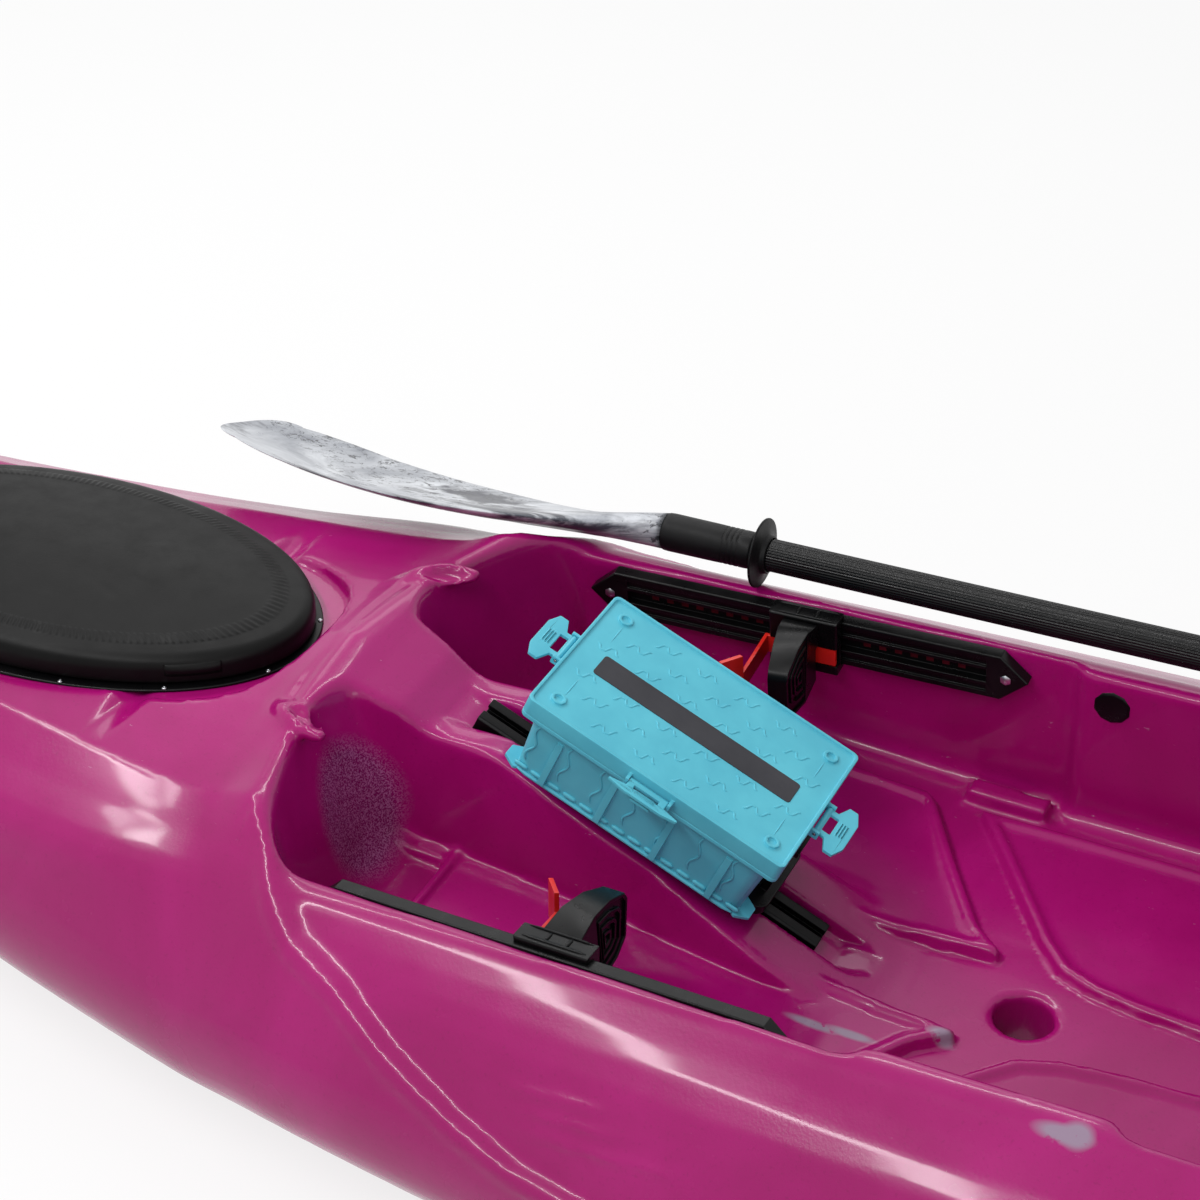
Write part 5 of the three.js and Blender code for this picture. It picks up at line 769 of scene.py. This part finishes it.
# Pieces
def dress(obj, body, slot_name, material=None, replaces=()):
    """Gives a piece its finish and its body, and lets it stand for CAD nodes."""
    obj.data.materials.clear()
    obj.data.materials.append(material or MATERIALS[slot_name])
    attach(obj, body)
    if replaces:
        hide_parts(*replaces)
    return obj


hull = fine_hull()
dress(hull, "hull", "hull_plastic", replaces=["hull_shell"])


# Forms, in millimetres
def tilted(cosine, sine, origin):
    """A frame pitched about the Y axis: its rotation and its origin."""
    return np.array([(cosine, 0, -sine), (0, 1, 0), (sine, 0, cosine)]), np.array(origin)


LEVEL = (np.eye(3), np.zeros(3))
BOX = tilted(0.92016, 0.39153, (557.526, 0, 207.01))
PADDLE = tilted(0.99951, -0.03134, (5, -285, 298.143))
BACK = tilted(-0.24192, 0.9703, (-543, 0, 241))
BOW_HANDLE = tilted(0.97513, 0.22163, (1610, 0, 312.954))
STERN_HANDLE = tilted(0.99538, -0.09605, (-1640, 0, 302.848))
RAIL = (np.array([(0.99908, 0.03133, 0.02927), (-0.0292, 0.99707, -0.07071), (-0.0314, 0.0698, 0.99707)]),
        np.array([532, 267.537, 247.725]))


class Form:
    """A mesh gathered from lofts, in millimetres of a frame (rotation, origin)."""

    def __init__(self, place=LEVEL):
        self.place, self.points, self.faces = place, [], []

    def loft(self, rings, joined=False):
        """Skin over closed rings, with its two ends capped or joined to each other."""
        rings = np.asarray(rings, float)
        n, m = rings.shape[:2]
        base = len(self.points)
        self.points.extend(rings.reshape(-1, 3).tolist())
        for i in range(n if joined else n - 1):
            for j in range(m):
                a, b = base + i * m + j, base + i * m + (j + 1) % m
                step = m if i < n - 1 else m * (1 - n)
                self.faces.append((a, b, b + step, a + step))
        if not joined:
            self.faces.append(tuple(base + j for j in reversed(range(m))))
            self.faces.append(tuple(base + (n - 1) * m + j for j in range(m)))
        return self

    def turned(self, profile, centre, axis, sides, ribs=0, rib=0.0):
        """Rings of (radius, height) round an axis through a centre."""
        z = np.array(axis, float) / np.linalg.norm(axis)
        x = np.cross((0, 1, 0) if abs(z[1]) < 0.9 else (1, 0, 0), z)
        x /= np.linalg.norm(x)
        y = np.cross(z, x)
        angles = np.arange(sides) * 2 * math.pi / sides
        swing = rib * np.cos(ribs * angles)
        rings = [[np.array(centre) + (r + (k if r > rib * 4 else 0)) * (x * math.cos(a) + y * math.sin(a))
                  + z * h for a, k in zip(angles, swing)] for r, h in profile]
        return self.loft(rings)

    def screw(self, centre, axis, radius, height):
        """A pan head with a round-cornered drive recess."""
        r, h = radius, height
        profile = [(r * 0.4, -h), (r, -h * 0.2), (r, h * 0.25), (r * 0.9, h * 0.7), (r * 0.62, h * 0.98),
                   (r * 0.44, h), (r * 0.38, h * 0.9), (r * 0.34, h * 0.4), (r * 0.05, h * 0.35)]
        return self.turned(profile, centre, axis, 18)

    def bar(self, line, wide, high, up=(0, 0, 1)):
        """A raised rib with sloping sides along a line of points."""
        line = np.array(line, float)
        ahead = np.gradient(line, axis=0)
        ahead /= np.linalg.norm(ahead, axis=1)[:, None]
        side = np.cross(ahead, np.array(up, float))
        side /= np.linalg.norm(side, axis=1)[:, None]
        up = np.cross(side, ahead)
        taper = np.ones(len(line))
        taper[[0, -1]] = 0.35
        shape = ((0.5, -0.6), (0.5, 0.3), (0.3, 0.9), (0, 1), (-0.3, 0.9), (-0.5, 0.3), (-0.5, -0.6))
        return self.loft([[q + a * wide * w * t + u * high * h * (t if h > 0 else 1) for w, h in shape]
                          for q, a, u, t in zip(line, side, up, taper)])

    def object(self, name):
        points = (np.array(self.points) @ self.place[0].T + self.place[1]) * MM
        obj = mesh_object(name, points, self.faces)
        cleaner = bmesh.new()
        cleaner.from_mesh(obj.data)
        bmesh.ops.recalc_face_normals(cleaner, faces=cleaner.faces)
        cleaner.to_mesh(obj.data)
        cleaner.free()
        obj.modifiers.new("shading", "WEIGHTED_NORMAL").keep_sharp = True
        return obj


# Bow hatch
COVER_A, COVER_B = 257.0, 142.0
COVER_DEPTH = 141.5
TICKS = 180
TAB_ANGLE, TAB_REACH, TAB_RINGS = 2.34, 0.26, 26


def inset(a, b, depth, angles):
    """An ellipse drawn in by a depth that ends at its centre."""
    reach = a - depth - (a - b) * (depth / b) ** 2
    return reach * np.cos(angles), (b - depth) * np.sin(angles)


def even_angles(a, b, count):
    fine = np.linspace(0, 2 * math.pi, 4001)
    run = np.concatenate([[0], np.cumsum(np.hypot(np.diff(a * np.cos(fine)), np.diff(b * np.sin(fine))))])
    return np.interp(np.arange(count) * run[-1] / count, run, fine)


def hatch_cover():
    angles = even_angles(COVER_A - 28, COVER_B - 28, TICKS * 6)
    ticks = 0.5 + 0.5 * np.cos(np.arange(len(angles)) * 2 * math.pi / 6)
    upper = [(3.5, 255.9), (0.4, 255.7), (0, 257.5), (0, 265), (0.8, 271.5), (3.2, 276), (8, 279.2),
             (15, 281.2), (20.5, 282.4), (24, 283.2), (28, 284.1), (32, 284.9), (36, 285.4), (48, 287.1),
             (70, 289.6), (100, 292), (128, 293.2), (COVER_DEPTH, 293.5)]
    lower = [(3.5, 255.9), (4.5, 258), (5, 266), (9, 272.5), (16, 275.6), (40, 280), (90, 286),
             (COVER_DEPTH, 288)]
    upper, lower = smoothed(upper, 4), smoothed(lower, 3)[1:]
    rings = []
    for depth, z in list(lower[::-1]) + list(upper):
        x, y = inset(COVER_A, COVER_B, min(depth, COVER_DEPTH), angles)
        level = np.full(len(angles), z)
        if z > 280 and len(rings) >= len(lower):
            band = max(0.0, 1 - abs((depth - 27) / 6.5) ** 4)
            oval = np.hypot(x / 112, y / 66)
            fade = 0.6 + 0.4 * np.sin(3 * angles + 1)
            level = level + 0.75 * band * ticks - 0.5 * fade * np.exp(-((oval - 1) * 66 / 1.3) ** 2)
        rings.append(np.stack([HATCH_X + x, y, level], axis=1))
    return Form().loft(rings).object("bow_hatch_cover_moulded")


def hatch_rim():
    angles = even_angles(RIM_A, RIM_B, 160)
    profile = [(0.3, 250.35), (0, 251.4), (0.4, 252.4), (1.4, 252.9), (8, 253), (16, 253), (19, 254.5),
               (20.5, 262), (21, 269), (22, 270.5), (24, 270.5), (25, 269), (26, 254.5), (27.5, 253),
               (30, 252.6), (31, 251.5), (31, 250.35)]
    rings = [np.stack([HATCH_X + (RIM_A - d) * np.cos(angles), (RIM_B - d) * np.sin(angles),
                       np.full(len(angles), z)], axis=1) for d, z in profile]
    return Form().loft(rings, joined=True).object("bow_hatch_rim_moulded")


dress(hatch_cover(), "hatch_cover", "black_plastic", MATERIALS["cover"], replaces=["bow_hatch_cover"])
dress(hatch_rim(), "hull", "black_plastic", replaces=["bow_hatch_rim"])
form = Form()
for angle in even_angles(RIM_A, RIM_B, 28)[1::2]:
    spot = (HATCH_X + (RIM_A - 2.9) * math.cos(angle), (RIM_B - 2.9) * math.sin(angle), 253.0)
    form.screw(spot, (0, 0, 1), 2.3, 1.2)
dress(form.object("hatch_rim_screws"), "hull", "steel")

rings = []
for k, angle in enumerate(np.linspace(TAB_ANGLE, TAB_ANGLE + TAB_REACH, TAB_RINGS)):
    soft = math.sin(math.pi * k / (TAB_RINGS - 1)) ** 0.3
    profile = ((-4, 263), (1.1 * soft, 262.5), (1.6 * soft, 268), (0.2 * soft, 273.5), (-4, 273.5))
    rings.append([(HATCH_X + (COVER_A + out) * math.cos(angle), (COVER_B + out) * math.sin(angle), z)
                  for out, z in profile])
dress(Form().loft(rings).object("hatch_cover_tab"), "hatch_cover", "black_plastic", MATERIALS["cover"])


# Tackle box
LID_FACE, STRIP_HALF = 88.2, (98.0, 13.4)


def rounded_corners(x, y, radius):
    out = []
    for k, (sx, sy) in enumerate(((1, 1), (-1, 1), (-1, -1), (1, -1))):
        for angle in math.pi / 2 * np.linspace(k, k + 1, 7):
            out.append((sx * (x - radius) + radius * math.cos(angle),
                        sy * (y - radius) + radius * math.sin(angle)))
    return out


strip = Form(BOX)
strip.loft([[(x, y, z) for x, y in rounded_corners(STRIP_HALF[0] - d, STRIP_HALF[1] - d, 3.2 - d)]
            for d, z in ((0, LID_FACE - 0.4), (0, LID_FACE + 0.35), (0.35, LID_FACE + 0.6))])
dress(strip.object("lid_strip"), "box_lid", "black_plastic", material=MATERIALS["strip"])

waves = Form(BOX)
for row, y0 in enumerate(np.arange(-63, 64, 21.0)):
    for col, x0 in enumerate(np.arange(-100, 101, 40.0)):
        x1 = x0 + (20 if row % 2 else 0)
        if abs(x1) > 108 or (abs(y0) < 20 and abs(x1) < 112) or (abs(x1) > 86 and abs(y0) > 45):
            continue
        t = np.linspace(-1, 1, 17)
        sway = 3.2 * np.clip(1.8 * np.sin(t * 1.5 * math.pi), -1, 1) * (1 if col % 2 else -1)
        waves.bar(np.stack([x1 + t * 11, y0 + sway + t * 2.5, np.full(len(t), LID_FACE)], axis=1), 2.0, 0.55)
for sx in (-1, 1):
    for sy in (-1, 1):
        x, y = sx * 104.6, sy * 63.6
        waves.bar([(x - sx * 2, y - sy * 9 - sy * k * 8, LID_FACE) for k in range(4)], 1.4, 0.5)
dress(waves.object("lid_waves"), "box_lid", "teal_plastic")


def tray_wall(z):
    """How far the tray's sloping long sides stand from its middle at a height."""
    return 70.2 + 5 * z / 74


band = Form(BOX)
for x0 in np.arange(-98, 99, 32.6):
    t = np.linspace(0, 1, 15)
    sway = 2.6 * np.sin(t * math.pi * 3)
    z = 17 + 44 * t
    for side in (1, -1):
        band.bar(np.stack([x0 + 7 + sway, side * tray_wall(z), z], axis=1), 2.2, 0.9, up=(0, side, 0))
    for offset in (-8, 8):
        lens = [(x0 + offset + 6.5 * u, tray_wall(9) + 0.2, 9) for u in np.linspace(-1, 1, 7)]
        band.bar(lens, 4.5, 1.7, up=(0, 1, 0))
for side in (1, -1):
    for half, low, z, wide, high in ((108, 3.2, 3.2, 4.0, 2.4), (104, 66, 66.5, 2.4, 1.2)):
        line = [(x, side * tray_wall(low), z) for x in np.linspace(-half, half, 25)]
        band.bar(line, wide, high, up=(0, side, 0))
dress(band.object("tray_side_band"), "box_mount", "teal_plastic")


# Paddle
ROOT, BLADE = 678.0, (472.0, 168.0, 5.0)
BLADE_TABLE = [
    (0, 0.2, 0, 6.6), (0.05, 0.2, -0.1, 5.6), (0.13, 0.26, -0.3, 4), (0.24, 0.52, -0.6, 2.8),
    (0.38, 0.8, -0.9, 2), (0.54, 0.96, -1, 1.4), (0.7, 1, -0.8, 1.1), (0.84, 0.96, -0.35, 1),
    (0.93, 0.78, 0.05, 0.9), (0.985, 0.42, 0.35, 0.8), (1, 0.1, 0.45, 0.7)]
ROLL = math.radians(24)


def paddle_blade(end):
    places = np.concatenate([np.linspace(0, 0.9, 60), 1 - 0.1 * (1 - np.linspace(0, 1, 26)[1:]) ** 1.8])
    v = -np.cos(np.linspace(0, math.pi, 25))
    rings = []
    for place in places:
        wide, drop, thick = (follow([(row[0], row[k]) for row in BLADE_TABLE], place) for k in (1, 2, 3))
        if place > 0.93:
            wide = 0.78 * math.sqrt(max(0.0, 1 - ((place - 0.93) / 0.07) ** 2.4)) + 0.03
        half = wide * BLADE[1] / 2
        middle = drop * 20 + 9 * v ** 2 * wide
        body = thick * BLADE[2] * np.sqrt(1 - v ** 2) / 2 + 0.55 * (1 - np.abs(v) ** 8)
        spine = 2.6 * np.exp(-(v * half / 5.5) ** 2)
        spine = spine * np.clip((0.8 - place) / 0.5, 0, 1) * np.clip(place / 0.15, 0, 1)
        x = np.full(len(v), ROOT + place * BLADE[0])
        top = np.stack([x, v * half, middle + body + spine * 0.3], axis=1)
        low = np.stack([x, v * half, middle - body - spine], axis=1)[::-1][1:-1]
        ring = np.concatenate([top, low])
        y, z = ring[:, 1:].T.copy()
        ring[:, 1] = y * math.cos(ROLL) - z * math.sin(ROLL)
        ring[:, 2] = y * math.sin(ROLL) + z * math.cos(ROLL)
        ring[:, 0] *= end
        rings.append(ring)
    form = Form(PADDLE).loft(rings)
    form.turned([(12.4, 0), (12.7, 1.5), (12.7, 60), (12.7, 66)], (end * 613, 0, 0), (end, 0, 0), 28)
    return form


def wall_round_shaft(profile, end, sides):
    """A closed wall round the shaft, from pairs of radius and place along it."""
    angles = np.arange(sides) * 2 * math.pi / sides
    return Form(PADDLE).loft([[(end * x, r * math.cos(a), r * math.sin(a)) for a in angles]
                              for r, x in profile], joined=True)


TUBE_WALL = [(13.2, 0.3), (15, 0.5), (15, 90), (15, 300), (15, 500), (15, 677), (15, 677.5), (13.2, 677.7)]
SLEEVE_WALL = [(15.35, 587.8), (16.6, 587.8), (17.3, 590), (17.6, 596)]
for k in range(4):
    SLEEVE_WALL += [(r, 5 * k + x) for r, x in ((17.6, 600), (17.0, 600.8), (17.0, 601.8), (17.6, 602.6))]
SLEEVE_WALL += [(17.8, 630), (18, 672), (17.7, 676.5), (17.0, 677.6), (15.35, 677.6)]
DRIP_RING_WALL = [
    (15.4, 572.2), (17.2, 572), (18, 573), (18.2, 575.5), (19.5, 577), (25, 578.8), (31.5, 579.8),
    (32.7, 580), (33, 580.8), (32.8, 581.8), (31.5, 581.9), (25, 581.2), (20.5, 580.8), (19, 582),
    (18.4, 583.6), (17.2, 584), (15.4, 583.9)]
for name, end in (("front", 1), ("rear", -1)):
    tube = Form(PADDLE).turned(TUBE_WALL, (0, 0, 0), (end, 0, 0), 216, 36, 0.28)
    for form, part, finish, slot_name in (
            (paddle_blade(end), "blade", "moulded", "blade_plastic"), (tube, "shaft", "ribbed", "shaft"),
            (wall_round_shaft(SLEEVE_WALL, end, 40), "sleeve", "moulded", "black_rubber"),
            (wall_round_shaft(DRIP_RING_WALL, end, 64), "drip_ring", "moulded", "black_rubber")):
        piece = form.object(f"paddle_{part}_{name}_{finish}")
        dress(piece, "paddle", slot_name, replaces=[f"paddle_{part}_{name}"])


# Seat slings
TUBE, HEM_TURN = 12.7, math.radians(165)
STITCH_STEP = 5.5


def sling_line(half, sag):
    """Middle line of the cloth across the seat: round one side tube, over the span and round the other."""
    wrap = [(half + TUBE * math.cos(a), TUBE * math.sin(a))
            for a in np.linspace(-HEM_TURN, math.radians(112), 26)]
    span = [(y, 3.4 - sag * (1 - (y / (half * 0.86)) ** 2)) for y in np.linspace(half * 0.84, 0, 18)]
    port = smoothed(wrap + [(half - 19, 6.2)] + span, 2)
    return np.concatenate([port, (port * (-1, 1))[::-1][1:]])


def sling(name, place, middle, level, length, half, sag):
    """The sheet as a closed skin 1.7 mm thick and 2.9 mm at its two hems, with its top face and flat size."""
    line = sling_line(half, sag)
    flat = np.linalg.norm(np.diff(line, axis=0), axis=1).sum()
    stations = np.concatenate([[-1, -0.995], np.linspace(-0.985, -0.86, 6), np.linspace(-0.84, 0.84, 26),
                               np.linspace(0.86, 0.985, 6), [0.995, 1]])
    ease = np.clip(1 - np.abs(line[:, 0]) / (half * 0.86), 0, 1) ** 0.5
    ahead = np.gradient(line, axis=0)
    ahead /= np.linalg.norm(ahead, axis=1)[:, None]
    normal = np.stack([ahead[:, 1], -ahead[:, 0]], axis=1)
    rings = []
    for t in stations:
        rise = 0.4 * sag * t ** 2 * ease
        waves = 0.5 * np.sin(line[:, 0] / 17.0 + 2 * t) * ease * abs(t) ** 3
        thick = (0.85 + (0.6 if abs(t) > 0.865 else 0.0)) * (0.5 if abs(t) > 0.99 else 1)
        outer, inner = line + normal * thick, line - normal * thick
        ring = np.concatenate([outer, inner[::-1]])
        lift = np.concatenate([rise + waves, rise[::-1] + waves[::-1]])
        along = np.full(len(ring), middle + t * length / 2)
        rings.append(np.stack([along, ring[:, 0], level + ring[:, 1] + lift], axis=1))
    tops = np.array(rings)[:, :len(line)]
    return Form(place).loft(rings).object(name), tops, (flat * MM, length * MM)


def stitches(form, line):
    """Short lengths of thread along a line, each a small bar with sunken ends."""
    run = np.concatenate([[0], np.cumsum(np.linalg.norm(np.diff(line, axis=0), axis=1))])
    lift = np.array((0, 0, 0.25))
    for k in range(int(run[-1] / STITCH_STEP)):
        a, b = (np.array([np.interp(k * STITCH_STEP + STITCH_STEP * share, run, axis) for axis in line.T])
                for share in (0.12, 0.8))
        form.bar([a, a + (b - a) * 0.25 + lift, a + (b - a) * 0.75 + lift, b], 0.9, 0.35)


for name, body, place, spec, frame_node in (
        ("seat_base", "seat", LEVEL, (-354.0, 205.0, 246.0, 214.0, 16.0), "seat_frame"),
        ("seat_back", "seat_back", BACK, (183.5, 0.0, 301.0, 199.4, 22.0), "seat_back_frame")):
    cloth, tops, flat = sling(f"{name}_mesh_sling", place, *spec)
    dress(cloth, body, "seat_mesh", material=MATERIALS[f"{name}_cloth"], replaces=[f"{name}_sling"])
    thread = Form(place)
    for k in (4, 6, -7, -5):
        stitches(thread, tops[k][30:-30])
    inner = int(np.argmin(np.abs(tops[0][:, 1] - (spec[3] - 24))))
    for column in (inner, inner + 2, -inner - 1, -inner - 3):
        stitches(thread, tops[:, column])
    rows = dress(thread.object(f"{name}_stitching"), body, "seat_mesh", material=MATERIALS["thread"])


# Small fixings
for name, place in (("bow", BOW_HANDLE), ("stern", STERN_HANDLE)):
    form = Form(place)
    for x in (-64, 64):
        form.screw((x, 0, 2.7), (0, 0, 1), 5.0, 2.6)
    dress(form.object(f"{name}_handle_screws"), "hull", "steel")
form = Form()
for side in ("port", "starboard"):
    for end in ("front", "rear"):
        low, high = (np.array(c) * 1000 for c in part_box(f"{side}_{end}_seat_saddle"))
        middle = (low + high) / 2
        for x in (low[0] + 7, high[0] - 7):
            form.screw((x, middle[1], low[2] + 7), (0, 0, 1), 4.2, 2.2)
dress(form.object("saddle_screws"), "hull", "steel")


def from_port_rail(form, flip):
    """Moves a form made in the port rail's frame to the hull's, on its own side."""
    points = np.array(form.points) @ RAIL[0].T + RAIL[1]
    form.points, form.place = (points * (1, flip, 1)).tolist(), LEVEL
    return form


for side, flip in (("port", 1), ("starboard", -1)):
    form = Form(RAIL)
    for x in np.arange(-150, 151, 15.0):
        if abs(x + 6) < 44:
            continue
        form.loft([[(x + sx * (3.4 - d), -z, -24 + sy * (3.4 - d))
                    for sx, sy in ((1, 1), (-1, 1), (-1, -1), (1, -1))]
                   for d, z in ((0, 5.4), (0, 5.9), (0.4, 6.1))])
    marks = from_port_rail(form, flip).object(f"{side}_rail_index_marks")
    dress(marks, "hull", "red_plastic", material=MATERIALS["mark"])
    form = Form(RAIL)
    for y, wide in ((-9.5, 3.0), (-23.0, 2.0)):
        form.bar([(x, y, 5.3) for x in np.linspace(-34, 22, 9)], wide, 1.4)
    for x in (-16, 2):
        form.bar([(x, y, 5.3) for y in np.linspace(-22, -10, 5)], 3.2, 1.4)
    ribs = from_port_rail(form, flip).object(f"{side}_carriage_ribs")
    dress(ribs, f"{side}_pedal", "black_plastic")

SLOTS = {row["node"]: row["material_slot"] for row in frame["record"]["subparts"]}
for name, node in NODES.items():
    node.data.materials.clear()
    node.data.materials.append(MATERIALS[SLOTS[name]])
    if node.hide_render:
        continue
    weld = node.modifiers.new("weld", "WELD")
    weld.merge_threshold = 0.00002
    bevel = node.modifiers.new("soft_edges", "BEVEL")
    bevel.width, bevel.segments, bevel.limit_method = 0.0007, 2, "ANGLE"
    bevel.angle_limit = math.radians(38)
    bevel.use_clamp_overlap = False
    node.modifiers.new("shading", "WEIGHTED_NORMAL")
